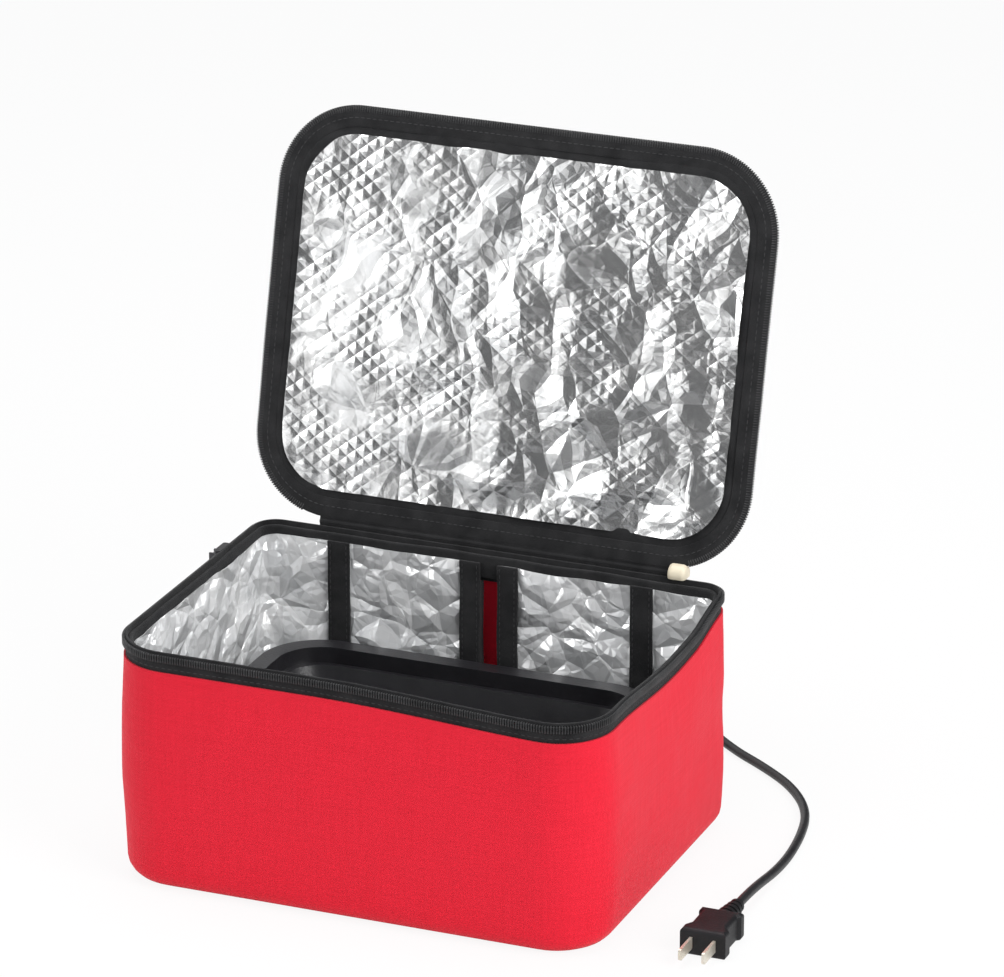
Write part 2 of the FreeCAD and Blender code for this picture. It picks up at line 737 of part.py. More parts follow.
def zip_pull():
    """Flat pull with an eye that turns on the slider's pin. It hangs straight down."""
    pivot = pull_pivot()
    width = EAR_GAP - 2 * RUNNING_GAP
    eye = Part.makeCylinder(
        PULL_EYE_RADIUS - RUNNING_GAP, width, pivot - Y_AXIS * (width / 2), Y_AXIS
    )
    half = PULL_THICKNESS / 2
    neck = slab(
        (pivot.x - half, pivot.y - width / 2, pivot.z - PULL_EYE_RADIUS - 3),
        (pivot.x + half, pivot.y + width / 2, pivot.z),
    )
    blade_top = pivot.z - PULL_EYE_RADIUS - 2
    blade = slab(
        (pivot.x - half, pivot.y - PULL_WIDTH / 2, blade_top - PULL_LENGTH),
        (pivot.x + half, pivot.y + PULL_WIDTH / 2, blade_top),
    )
    blade = fillet_at(blade, PULL_WIDTH * 0.4, lambda box: box.XLength > PULL_THICKNESS * 0.9)
    bore = Part.makeCylinder(
        PULL_PIN_RADIUS + PULL_PIN_GAP, PULL_WIDTH, pivot - Y_AXIS * (PULL_WIDTH / 2), Y_AXIS
    )
    return eye.multiFuse([neck, blade]).removeSplitter().cut(bore)


# Heating plate


def foot_cut(length, width, along):
    """The long opening between two feet, with sloped ends, across the whole plate."""
    half = length / 2 - FOOT_LENGTH
    low, high = PLATE_BOTTOM, PLATE_BOTTOM + FOOT_HEIGHT
    points = [(-half, low), (-half + FOOT_SLOPE, high), (half - FOOT_SLOPE, high), (half, low)]
    if along == "x":
        corners = [Vector(p, -width, z) for p, z in points]
        return prism(corners, Vector(0, 2 * width, 0))
    corners = [Vector(-width, p, z) for p, z in points]
    return prism(corners, Vector(2 * width, 0, 0))


def boss_places():
    """The four screw bosses, inside the corner feet."""
    x = PLATE_WIDTH / 2 - BOSS_INSET
    y = PLATE_DEPTH / 2 - BOSS_INSET
    return [(sx * x, sy * y) for sx in (-1, 1) for sy in (-1, 1)]


def cord_notch():
    """Cut in the middle of the rear edge, above the cord gland."""
    rear = PLATE_DEPTH / 2
    return slab(
        (-NOTCH_WIDTH / 2, rear - NOTCH_DEPTH, PLATE_TOP - NOTCH_DROP),
        (NOTCH_WIDTH / 2, rear + 1, PLATE_TOP + 1),
    )


def plate_housing():
    """Moulded skirt with corner feet, a lip under the sheet, screw bosses and the cord's hole."""
    body = block(PLATE_WIDTH, PLATE_DEPTH, PLATE_RADIUS, PLATE_BOTTOM, PLATE_TOP)
    body = fillet_at(body, PLATE_EDGE, level(PLATE_TOP))
    seat = SHEET_SEAT
    edge = PLATE_WALL
    inner = (PLATE_WIDTH - 2 * edge, PLATE_DEPTH - 2 * edge, PLATE_RADIUS - edge)
    lip = edge + PLATE_LIP
    throat = (PLATE_WIDTH - 2 * lip, PLATE_DEPTH - 2 * lip, PLATE_RADIUS - lip)
    body = body.cut(block(*inner, seat, PLATE_TOP + 1))
    body = body.cut(block(*throat, PLATE_BOTTOM - 1, seat + 1))
    body = body.cut(block(*inner, PLATE_BOTTOM - 1, seat - PLATE_LIP_HEIGHT))
    body = body.cut(foot_cut(PLATE_WIDTH, PLATE_DEPTH, "x"))
    body = body.cut(foot_cut(PLATE_DEPTH, PLATE_WIDTH, "y"))
    body = body.cut(cord_notch())
    bosses = []
    for x, y in boss_places():
        low = PAN_TOP + LAYER_GAP
        bosses.append(Part.makeCylinder(BOSS_RADIUS, seat - LAYER_GAP - low, Vector(x, y, low)))
    arms = []
    for x, y in boss_places():
        reach_x = math.copysign(PLATE_WIDTH / 2 - PLATE_WALL, x)
        low = PAN_TOP + LAYER_GAP
        arms.append(
            slab(
                (min(x, reach_x), y - SCREW_RADIUS, low),
                (max(x, reach_x), y + SCREW_RADIUS, seat - LAYER_GAP),
            )
        )
    body = body.multiFuse([*bosses, *arms]).removeSplitter()
    for x, y in boss_places():
        way = Part.makeCylinder(SCREW_RADIUS + SCREW_GAP, PLATE_HEIGHT, Vector(x, y, PLATE_BOTTOM))
        body = body.cut(way)
    hole = Part.makeCylinder(
        GLAND_RADIUS + LAYER_GAP,
        4 * PLATE_WALL,
        Vector(0, PLATE_DEPTH / 2 - 2 * PLATE_WALL, CORD_EXIT_HEIGHT),
        Y_AXIS,
    )
    return body.cut(hole)


def plate_sheet():
    """Flat coated aluminium sheet, let into the housing with a thin dark joint all round."""
    take_in = PLATE_WALL + SHEET_GAP
    low = PLATE_TOP - PLATE_SHEET
    sheet = block(
        PLATE_WIDTH - 2 * take_in, PLATE_DEPTH - 2 * take_in, PLATE_RADIUS - take_in, low, PLATE_TOP
    )
    around = slab(
        (-NOTCH_WIDTH / 2 - SHEET_GAP, PLATE_DEPTH / 2 - NOTCH_DEPTH - SHEET_GAP, low - 1),
        (NOTCH_WIDTH / 2 + SHEET_GAP, PLATE_DEPTH, PLATE_TOP + 1),
    )
    return sheet.cut(around)


def heater_size():
    """Plan size of the heating element and the felt under it."""
    return PLATE_WIDTH - 2 * (HEATER_MARGIN + BOSS_INSET), PLATE_DEPTH - 2 * HEATER_MARGIN


def heating_element():
    """Flat resistance strip, folded to and fro under the sheet."""
    width, depth = heater_size()
    top = SHEET_SEAT
    pitch = (depth - HEATER_STRIP) / (HEATER_PASSES - 1)
    bars = []
    for index in range(HEATER_PASSES):
        y = -depth / 2 + index * pitch
        bars.append(slab((-width / 2, y, top - HEATER_THICKNESS), (width / 2, y + HEATER_STRIP, top)))
        if index < HEATER_PASSES - 1:
            x = width / 2 - HEATER_STRIP if index % 2 == 0 else -width / 2
            bars.append(
                slab((x, y, top - HEATER_THICKNESS), (x + HEATER_STRIP, y + pitch + HEATER_STRIP, top))
            )
    return bars[0].multiFuse(bars[1:]).removeSplitter()


def felt_top():
    """Height of the top of the insulating felt."""
    return SHEET_SEAT - LAYER_GAP - HEATER_THICKNESS


def heater_felt():
    """Insulating felt under the element, holed for the thermostat."""
    width, depth = heater_size()
    high = felt_top()
    felt = slab((-width / 2, -depth / 2, high - FELT_THICKNESS), (width / 2, depth / 2, high))
    start = Vector(0, 0, high - FELT_THICKNESS - 1)
    hole = Part.makeCylinder(THERMOSTAT_RADIUS + 1, FELT_THICKNESS + 2, start)
    return felt.cut(hole)


def thermostat():
    """Round bimetal thermostat against the element, with two terminal tags."""
    high = felt_top()
    can = Part.makeCylinder(THERMOSTAT_RADIUS, THERMOSTAT_HEIGHT, Vector(0, 0, high - THERMOSTAT_HEIGHT))
    tags = []
    for side in (-1, 1):
        near = side * THERMOSTAT_RADIUS * 0.5
        far = side * THERMOSTAT_RADIUS * 1.6
        low = high - THERMOSTAT_HEIGHT - HEATER_THICKNESS
        tags.append(slab((min(near, far), -2, low), (max(near, far), 2, low + HEATER_THICKNESS)))
    return can.multiFuse(tags).removeSplitter()


def sheet_pan():
    """Thin metal pan screwed under the housing."""
    take_in = PLATE_WALL + LAYER_GAP
    low = PAN_BOTTOM
    plan = (PLATE_WIDTH - 2 * take_in, PLATE_DEPTH - 2 * take_in, PLATE_RADIUS - take_in)
    pan = block(*plan, low, low + PAN_THICKNESS)
    for x, y in boss_places():
        pan = pan.cut(Part.makeCylinder(SCREW_RADIUS + SCREW_GAP, PLATE_HEIGHT, Vector(x, y, PLATE_BOTTOM)))
    return pan


def plate_screws():
    """Four screws that hold the pan to the bosses."""
    screws = []
    for x, y in boss_places():
        low = PAN_BOTTOM - SCREW_HEAD_HEIGHT
        head = Part.makeCylinder(SCREW_HEAD_RADIUS, SCREW_HEAD_HEIGHT, Vector(x, y, low))
        shank = Part.makeCylinder(SCREW_RADIUS, BOSS_RADIUS * 2, Vector(x, y, low))
        screws.append(head.fuse(shank).removeSplitter())
    return Part.makeCompound(screws)


def plate_gland():
    """Moulded cord gland in the rear skirt, with a flange inside and a tapered sleeve outside."""
    rear = PLATE_DEPTH / 2
    z = CORD_EXIT_HEIGHT
    inner = rear - PLATE_WALL - LAYER_GAP
    tip = (GLAND_RADIUS + CORD_RADIUS) / 2
    sleeve = Part.makeCone(GLAND_RADIUS, tip, GLAND_LENGTH, Vector(0, rear, z), Y_AXIS)
    through = Part.makeCylinder(GLAND_RADIUS, rear - inner, Vector(0, inner, z), Y_AXIS)
    flange = Part.makeCylinder(
        GLAND_RADIUS + GLAND_FLANGE, GLAND_FLANGE_LENGTH, Vector(0, inner - GLAND_FLANGE_LENGTH, z), Y_AXIS
    )
    return sleeve.multiFuse([through, flange]).removeSplitter()


# Food tray


def tray_section(take_in, radius, height):
    """Outline of the tray at one height above its underside."""
    return outline(
        TRAY_WIDTH - 2 * take_in, TRAY_DEPTH - 2 * take_in, radius, TRAY_BOTTOM + height
    )


def food_tray():
    """Thin moulded tray: tapered walls, a stacking step, a flat flange and a turned-down lip."""
    rim = TRAY_HEIGHT - TRAY_FLANGE_THICKNESS
    step = rim - TRAY_STEP_HEIGHT
    floor_in = TRAY_FLANGE + TRAY_STEP + TRAY_TAPER

    def tub_form(wall):
        lower = Part.makeLoft(
            [
                tray_section(floor_in + wall, TRAY_RADIUS - floor_in + TRAY_TAPER / 2, wall),
                tray_section(
                    TRAY_FLANGE + TRAY_STEP + wall, TRAY_RADIUS - TRAY_FLANGE - TRAY_STEP / 2, step + wall
                ),
            ],
            True,
            True,
        )
        lower = fillet_at(lower, TRAY_FLOOR_RADIUS - wall, level(TRAY_BOTTOM + wall))
        upper = block(
            TRAY_WIDTH - 2 * (TRAY_FLANGE + wall),
            TRAY_DEPTH - 2 * (TRAY_FLANGE + wall),
            TRAY_RADIUS - TRAY_FLANGE,
            TRAY_BOTTOM + step + wall,
            TRAY_BOTTOM + TRAY_HEIGHT,
        )
        return lower.fuse(upper)

    flange = block(TRAY_WIDTH, TRAY_DEPTH, TRAY_RADIUS, TRAY_BOTTOM + rim, TRAY_BOTTOM + TRAY_HEIGHT)
    lip = ring(
        TRAY_WIDTH, TRAY_DEPTH, TRAY_RADIUS, TRAY_WALL, TRAY_BOTTOM + rim - TRAY_LIP_DROP, TRAY_BOTTOM + rim
    )
    shell = tub_form(0.0).multiFuse([flange, lip]).removeSplitter()
    return shell.cut(tub_form(TRAY_WALL))


# Mains cord


def wall_grommet():
    """Rubber grommet in the rear wall with a tapered strain relief outside."""
    outer = BAG_DEPTH / 2
    z = CORD_EXIT_HEIGHT
    root = Vector(0, outer + GROMMET_FLANGE, z)
    relief = Part.makeCone(GROMMET_RADIUS, RELIEF_TIP_RADIUS, RELIEF_LENGTH, root, Y_AXIS)
    collar = Part.makeCylinder(GROMMET_INNER_RADIUS, GROMMET_FLANGE, Vector(0, outer, z), Y_AXIS)
    through = Part.makeCylinder(GROMMET_RADIUS, FABRIC, Vector(0, outer - FABRIC, z), Y_AXIS)
    back = Part.makeCylinder(
        GROMMET_INNER_RADIUS, GROMMET_FLANGE, Vector(0, outer - FABRIC - GROMMET_FLANGE, z), Y_AXIS
    )
    return back.multiFuse([through, collar, relief]).removeSplitter()


def inner_lead():
    """Short stretch of cord from the plate's gland to the grommet."""
    start = PLATE_DEPTH / 2 + GLAND_LENGTH + RUNNING_GAP
    end = BAG_DEPTH / 2 - FABRIC - GROMMET_FLANGE
    return Part.makeCylinder(CORD_RADIUS, end - start, Vector(0, start, CORD_EXIT_HEIGHT), Y_AXIS)


def round_arc(start, corner, end):
    """Circular arc from start to end that is tangent to the lines to their common corner."""
    half_turn = (corner - start).getAngle(end - start)
    weight = math.cos(half_turn)
    middle = (start + corner * (2 * weight) + end) * (1 / (2 + 2 * weight))
    return Part.Arc(start, middle, end).toShape()


def biarc(start, start_way, end, end_way):
    """Two tangent arcs from one point and direction to another."""
    span = end - start
    both = start_way + end_way
    spread = 2 * (1 - start_way.dot(end_way))
    if spread < 1e-9:
        reach = span.dot(span) / (2 * span.dot(both))
    else:
        reach = (-span.dot(both) + math.sqrt(span.dot(both) ** 2 + spread * span.dot(span))) / spread
    first = start + start_way * reach
    second = end - end_way * reach
    middle = (first + second) * 0.5
    return [round_arc(start, first, middle), round_arc(middle, second, end)]


def route_edges(points, name):
    """Straight runs joined by tangent arcs, each arc as large as its two runs allow."""
    edges = []
    last = points[0]
    radii = []
    for before, point, after in zip(points, points[1:], points[2:]):
        back, ahead = before - point, after - point
        shorter = min(back.Length, ahead.Length)
        turn = math.pi - back.getAngle(ahead)
        trim = 0.45 * shorter
        radii.append(trim / math.tan(turn / 2))
        start = point + back.normalize() * trim
        end = point + ahead.normalize() * trim
        edges.append(Part.LineSegment(last, start).toShape())
        edges.append(round_arc(start, point, end))
        last = end
    edges.append(Part.LineSegment(last, points[-1]).toShape())
    print(name, "bend radii", [round(r) for r in radii])
    return edges


def tube(edges, way):
    """The cord's round section carried along its path."""
    path = Part.Wire(edges)
    start = path.OrderedVertexes[0].Point
    shell = Part.BRepOffsetAPI.MakePipeShell(path)
    shell.add(Part.Wire(Part.Circle(start, way, CORD_RADIUS).toShape()))
    shell.build()
    shell.makeSolid()
    solid = Part.Solid(shell.shape())
    share = solid.Volume / (path.Length * math.pi * CORD_RADIUS**2)
    print("tube length", round(path.Length, 1), "volume ratio", share)
    return solid


def relief_tip():
    """Where the cord leaves the strain relief."""
    return Vector(0, BAG_DEPTH / 2 + GROMMET_FLANGE + RELIEF_LENGTH, CORD_EXIT_HEIGHT)


# Route of the free cord: level runs where it meets other pieces, and chosen points on the floor
COIL_REST = CORD_RADIUS + TIE_THICKNESS + LAYER_GAP
LEVEL_RUN = 18.0
LEAD_IN_REACH = 62.0
FLOOR_REST = CORD_RADIUS + LAYER_GAP
LEAD_OUT = [
    (82.0, 209.0, 4.4),
    (110.0, 184.5, FLOOR_REST),
    (134.0, 168.0, FLOOR_REST),
    (158.0, 147.5, FLOOR_REST),
    (176.5, 119.0, FLOOR_REST),
    (184.5, 84.0, FLOOR_REST),
    (187.5, 46.0, FLOOR_REST),
]
PLUG_AT = Vector(186.0, -16.0, PLUG_THICKNESS / 2)


def coil_start():
    """First point of the coil, on its left, where the cord arrives heading away from the bag."""
    tip = relief_tip()
    return Vector(tip.x, tip.y + LEAD_IN_REACH, COIL_REST)


def coil_edges():
    """Flat spiral inwards, a half turn that climbs one layer, and a spiral outwards on top."""
    edges = []
    at = coil_start()
    way = Y_AXIS
    side = 1

    def half_turn(at, radius, side):
        centre = at + X_AXIS * (radius * side)
        far = centre + X_AXIS * (radius * side)
        edges.append(Part.Arc(at, centre + Y_AXIS * (radius * side), far).toShape())
        return far

    for index in range(COIL_HALF_TURNS):
        at = half_turn(at, COIL_RADIUS - index * COIL_PITCH / 2, side)
        side = -side
        way = -way
    radius = COIL_RADIUS - COIL_HALF_TURNS * COIL_PITCH / 2
    rise = Vector(0, 0, COIL_PITCH)
    centre = at + X_AXIS * (radius * side)
    middle = centre + Y_AXIS * (radius * side) + rise * 0.5
    slope = COIL_PITCH / (math.pi * radius) * 1.5
    middle_way = (X_AXIS * side + Z_AXIS * slope).normalize()
    far = centre + X_AXIS * (radius * side) + rise
    edges.extend(biarc(at, way, middle, middle_way))
    edges.extend(biarc(middle, middle_way, far, -way))
    at = far
    side = -side
    for index in range(1, COIL_HALF_TURNS):
        at = half_turn(at, radius + index * COIL_PITCH / 2, side)
        side = -side
    quarter = COIL_RADIUS
    centre = at + X_AXIS * (quarter * side)
    bend = quarter * math.sqrt(0.5)
    end = centre + Y_AXIS * (quarter * side)
    edges.append(Part.Arc(at, centre + Vector(-bend * side, bend * side, 0), end).toShape())
    return edges, end, X_AXIS * side


def least_gap(edges, steps):
    """Least distance between turns of the coil, less one cord diameter, measured on points."""
    points = []
    for edge in edges:
        points.extend(edge.discretize(steps)[:-1])
    lengths = [0.0]
    for a, b in zip(points, points[1:]):
        lengths.append(lengths[-1] + a.distanceToPoint(b))
    least = COIL_RADIUS
    for i, a in enumerate(points):
        for j in range(i + 1, len(points)):
            if lengths[j] - lengths[i] > 4 * CORD_DIAMETER:
                least = min(least, a.distanceToPoint(points[j]))
    return least - CORD_DIAMETER


def cord_pieces():
    """The cord in three stretches: down from the wall, the tied coil, and on to the plug."""
    tip = relief_tip()
    start = coil_start()
    level = Y_AXIS * LEVEL_RUN
    lead_in = tube(route_edges([tip, tip + level, start - level, start], "lead in"), Y_AXIS)
    turns, end, way = coil_edges()
    coil = tube(turns, Y_AXIS)
    print("coil least gap", round(least_gap(turns, 12), 2))
    floor = [Vector(*point) for point in LEAD_OUT]
    points = [end, end + way * LEVEL_RUN, *floor, PLUG_AT + level, PLUG_AT]
    lead_out = tube(route_edges(points, "lead out"), way)
    return lead_in, coil, lead_out


def cord_tie():
    """Flat tie round all the turns of the coil, on its right."""
    start = coil_start()
    outer = start.x + 2 * COIL_RADIUS + CORD_RADIUS + TIE_GAP
    inner = outer - COIL_HALF_TURNS * COIL_PITCH / 2 - CORD_DIAMETER - 4 * TIE_GAP
    high = COIL_REST + COIL_PITCH + CORD_RADIUS + TIE_GAP
    y = start.y - TIE_WIDTH / 2
    loop = slab((inner - TIE_THICKNESS, y, 0), (outer + TIE_THICKNESS, y + TIE_WIDTH, high + TIE_THICKNESS))
    hole = slab((inner, y - 1, TIE_THICKNESS), (outer, y + TIE_WIDTH + 1, high))
    return loop.cut(hole)


def plug_body():
    """Two-pole plug: a waisted grip between a wide front and a rear collar."""
    front = PLUG_AT.y - PLUG_RELIEF_LENGTH - PLUG_LENGTH
    rear = PLUG_AT.y - PLUG_RELIEF_LENGTH
    a, b = PLUG_WIDTH / 2, PLUG_WAIST / 2
    profile = [
        (a, front),
        (a, front + PLUG_COLLAR * 1.6),
        (b, front + PLUG_COLLAR * 2.6),
        (b, rear - PLUG_COLLAR * 1.4),
        (a * 0.94, rear - PLUG_COLLAR),
        (a * 0.94, rear),
    ]
    points = [Vector(PLUG_AT.x + x, y, 0) for x, y in profile]
    points += [Vector(PLUG_AT.x - x, y, 0) for x, y in reversed(profile)]
    body = prism(points, Vector(0, 0, PLUG_THICKNESS))
    return fillet_at(body, PLUG_ROUND, lambda box: level(0.0)(box) or level(PLUG_THICKNESS)(box))


def plug_relief():
    """Ribbed tapered strain relief behind the plug."""
    rear = PLUG_AT.y - PLUG_RELIEF_LENGTH
    base = PLUG_THICKNESS * 0.42
    tip = CORD_RADIUS + 0.9
    middle = Vector(PLUG_AT.x, rear, PLUG_AT.z)
    core = Part.makeCone(base - 1.0, tip - 0.4, PLUG_RELIEF_LENGTH, middle, Y_AXIS)
    rib_length = PLUG_RELIEF_LENGTH / (2 * PLUG_RIBS)
    ribs = []
    for index in range(PLUG_RIBS):
        start = 2 * index * rib_length
        share = start / PLUG_RELIEF_LENGTH
        radius = base + (tip - base) * share
        ribs.append(Part.makeCylinder(radius, rib_length, middle + Y_AXIS * start, Y_AXIS))
    return core.multiFuse(ribs).removeSplitter()


def plug_blades():
    """Two flat brass blades with rounded tips."""
    front = PLUG_AT.y - PLUG_RELIEF_LENGTH - PLUG_LENGTH
    blades = []
    for side in (-1, 1):
        x = PLUG_AT.x + side * BLADE_SPACING / 2
        low = PLUG_THICKNESS / 2 - BLADE_WIDTH / 2
        blade = slab(
            (x - BLADE_THICKNESS / 2, front - BLADE_LENGTH, low),
            (x + BLADE_THICKNESS / 2, front, low + BLADE_WIDTH),
        )
        blade = fillet_at(
            blade,
            BLADE_WIDTH * 0.25,
            lambda box: box.XLength > BLADE_THICKNESS * 0.9 and box.YMax < front - 1,
        )
        blades.append(blade)
    return Part.makeCompound(blades)


def build():
    """All pieces by name."""
    pieces = {
        "outer_shell": outer_shell(),
        "base_board": base_board(),
        "slot_bindings": slot_bindings(),
        "corner_bindings": corner_bindings(),
        "rim_tape": rim_tape(),
        "rim_binding": rim_binding(),
        "bag_zip_chain": bag_chain(),
        "zip_end_stop": zip_end_stop(),
        "hinge_bead": hinge_bead(),
        "zip_slider": zip_slider(),
        "zip_pull": zip_pull(),
        "plate_housing": plate_housing(),
        "plate_sheet": plate_sheet(),
        "heating_element": heating_element(),
        "heater_felt": heater_felt(),
        "thermostat": thermostat(),
        "sheet_pan": sheet_pan(),
        "plate_screws": plate_screws(),
        "plate_gland": plate_gland(),
        "food_tray": food_tray(),
        "wall_grommet": wall_grommet(),
        "inner_lead": inner_lead(),
        "cord_tie": cord_tie(),
        "plug_body": plug_body(),
        "plug_relief": plug_relief(),
        "plug_blades": plug_blades(),
    }
    for name, board in foam_boards().items():
        pieces["foam_" + name] = board
    for name, panel in foil_panels().items():
        pieces["foil_" + name] = panel
    lid = {
        "lid_cover": lid_cover(),
        "lid_foam": lid_foam(),
        "lid_foil": lid_foil(),
        "lid_binding": lid_binding(),
        "lid_zip_tape": lid_tape(),
        "lid_zip_chain": lid_chain(),
        "hinge_tongue": hinge_tongue(),
        "carry_strap": carry_strap(),
    }
    for name, shape in lid.items():
        pieces[name] = opened(shape)
    pieces["cord_lead_in"], pieces["cord_coil"], pieces["cord_lead_out"] = cord_pieces()
    return pieces


def main():
    os.makedirs("parts", exist_ok=True)
    for name, shape in build().items():
        shape.exportStep(os.path.join("parts", name + ".step"))
        print(name, len(shape.Solids), "solids", round(shape.Volume, 1), "valid", shape.isValid())


main()
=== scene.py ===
import math

import bmesh
import bpy
from mathutils import Matrix, Vector, noise


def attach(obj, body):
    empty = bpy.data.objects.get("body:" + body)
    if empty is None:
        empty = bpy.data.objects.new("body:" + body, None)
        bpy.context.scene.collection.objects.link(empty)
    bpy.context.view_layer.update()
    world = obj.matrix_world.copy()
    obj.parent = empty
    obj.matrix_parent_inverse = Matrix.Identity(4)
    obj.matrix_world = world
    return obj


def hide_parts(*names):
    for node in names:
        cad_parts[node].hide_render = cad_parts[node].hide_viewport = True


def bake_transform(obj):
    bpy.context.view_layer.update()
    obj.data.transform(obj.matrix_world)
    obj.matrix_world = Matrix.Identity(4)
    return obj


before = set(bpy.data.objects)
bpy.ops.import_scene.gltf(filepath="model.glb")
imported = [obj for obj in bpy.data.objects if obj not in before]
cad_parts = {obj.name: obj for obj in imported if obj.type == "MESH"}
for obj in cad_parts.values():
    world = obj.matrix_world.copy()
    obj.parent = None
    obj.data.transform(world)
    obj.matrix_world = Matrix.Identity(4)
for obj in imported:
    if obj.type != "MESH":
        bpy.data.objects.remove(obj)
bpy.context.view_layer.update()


# Floor, light and camera. The floor is a plain pale sheet that keeps the object's shadow and shows
# white to the lens. Three soft lamps stand round the object, with pale screens and a dark card on
# the floor for metal to mirror, and the camera is where the photograph was taken.
FLOOR_GREY = (0.86, 0.86, 0.86, 1)
FLOOR_GLOW = 0.90
CARD_WAY = (0.9, -1.0, 0.0)
CARD_EDGE = (0.55, 0.22)
CARD_GLOW = 0.06
ROOM_COLOUR = (0.95, 0.97, 1.0, 1)
ROOM_LIGHT = 0.42
SCREEN_WAY = (-1.25, 0.0, -0.3)
SCREEN_UNEVEN = 0.3
SCREEN_EDGE = (0.40, 0.56)
SCREEN_DARK = 0.02
ROOF_EDGE = (0.74, 0.90)
LAMPS = {
    "key": ((1.9, -0.75, 1.3), 1.3, 40.0),
    "left": ((-1.9, -1.2, 0.9), 1.1, 15.0),
    "top": ((-0.1, 0.1, 2.1), 1.4, 22.0),
}
LAMPS_AIM = Vector((0, 0, 0.15))
CAMERA_PLACE = (1.1524, -2.7173, 1.3269)
CAMERA_YAW = 22.149
CAMERA_PITCH = 20.784
LENS_LENGTH = 216.53
SHARP_ANGLE = 1.0


def put(tree, kind, inputs=None, **settings):
    """A new node, with its settings and its inputs, which are values or other nodes' outputs."""
    made = tree.nodes.new(kind)
    for name, value in settings.items():
        setattr(made, name, value)
    for socket, value in (inputs or {}).items():
        if isinstance(value, bpy.types.NodeSocket):
            tree.links.new(value, made.inputs[socket])
        else:
            made.inputs[socket].default_value = value
    return made


def maths(tree, operation, *inputs):
    """The result of one operation on values or other nodes' outputs."""
    return put(tree, "ShaderNodeMath", dict(enumerate(inputs)), operation=operation).outputs[0]


def mapped(tree, value, low, high, least=0.0, most=1.0):
    """A value that goes from least to most as another goes from low to high."""
    limits = {"From Min": low, "From Max": high, "To Min": least, "To Max": most}
    return put(tree, "ShaderNodeMapRange", {"Value": value, **limits}).outputs[0]


def mottle(tree, place, scale, detail):
    """Soft noise between 0 and 1."""
    values = {"Vector": place, "Scale": scale, "Detail": detail}
    return put(tree, "ShaderNodeTexNoise", values).outputs["Fac"]


def new_finish(name, settings):
    """A material whose shader has these values set on its own sockets."""
    material = bpy.data.materials.new(name)
    material.use_nodes = True
    shader = material.node_tree.nodes["Principled BSDF"]
    for socket, value in settings.items():
        shader.inputs[socket].default_value = value
    return material, material.node_tree, shader


def piece(name, bm, *finishes):
    """An object at the origin from a bmesh, smooth but for its sharp edges, with its finishes."""
    mesh = bpy.data.meshes.new(name)
    for face in bm.faces:
        face.smooth = True
    for edge in bm.edges:
        edge.smooth = edge.calc_face_angle(0.0) < SHARP_ANGLE
    bm.to_mesh(mesh)
    bm.free()
    for finish in finishes:
        mesh.materials.append(finish)
    made = bpy.data.objects.new(name, mesh)
    bpy.context.scene.collection.objects.link(made)
    return made


floor_finish, tree, shader = new_finish("pale_floor", {"Base Color": FLOOR_GREY, "Roughness": 0.9})
path = put(tree, "ShaderNodeLightPath").outputs
shiny = maths(tree, "MAXIMUM", path["Is Glossy Ray"], path["Is Transmission Ray"])
seen = maths(tree, "MAXIMUM", path["Is Camera Ray"], shiny)
place = put(tree, "ShaderNodeTexCoord").outputs["Object"]
ahead = put(tree, "ShaderNodeVectorMath", {0: place, 1: CARD_WAY}, operation="DOT_PRODUCT")
card = mapped(tree, ahead.outputs["Value"], *CARD_EDGE, CARD_GLOW)
glow = put(tree, "ShaderNodeMix", {0: path["Is Glossy Ray"], 2: 1.0, 3: card})
lit = put(tree, "ShaderNodeEmission", {"Color": (1, 1, 1, 1), "Strength": glow.outputs[0]})
share = maths(tree, "MULTIPLY", seen, FLOOR_GLOW)
mixed = put(tree, "ShaderNodeMixShader", {0: share, 1: shader.outputs[0], 2: lit.outputs[0]})
tree.links.new(mixed.outputs[0], tree.nodes["Material Output"].inputs["Surface"])
bm = bmesh.new()
bmesh.ops.create_grid(bm, x_segments=1, y_segments=1, size=9.0)
floor = piece("floor", bm, floor_finish)

world = bpy.data.worlds.new("studio")
bpy.context.scene.world = world
world.use_nodes = True
tree = world.node_tree
plain = tree.nodes["Background"]
plain.inputs["Color"].default_value = ROOM_COLOUR
plain.inputs["Strength"].default_value = ROOM_LIGHT
way = put(tree, "ShaderNodeTexCoord").outputs["Generated"]
aside = put(tree, "ShaderNodeVectorMath", {0: way, 1: SCREEN_WAY}, operation="DOT_PRODUCT")
screen = maths(tree, "MULTIPLY_ADD", mottle(tree, way, 4.0, 1.0), SCREEN_UNEVEN, aside.outputs["Value"])
side_light = mapped(tree, screen, *SCREEN_EDGE, SCREEN_DARK)
roof_light = mapped(tree, put(tree, "ShaderNodeSeparateXYZ", {0: way}).outputs["Z"], *ROOF_EDGE)
shades = maths(tree, "MAXIMUM", side_light, roof_light)
mirrored = put(tree, "ShaderNodeBackground", {"Color": (1, 1, 1, 1), "Strength": shades})
glossy = put(tree, "ShaderNodeLightPath").outputs["Is Glossy Ray"]
room = put(tree, "ShaderNodeMixShader", {0: glossy, 1: plain.outputs[0], 2: mirrored.outputs[0]})
tree.links.new(room.outputs[0], tree.nodes["World Output"].inputs["Surface"])

for name, (place, size, power) in LAMPS.items():
    lamp = bpy.data.lights.new("lamp_" + name, "AREA")
    lamp.size = size
    lamp.energy = power
    holder = bpy.data.objects.new("lamp_" + name, lamp)
    holder.location = place
    holder.rotation_euler = (LAMPS_AIM - Vector(place)).to_track_quat("-Z", "Y").to_euler()
    bpy.context.scene.collection.objects.link(holder)

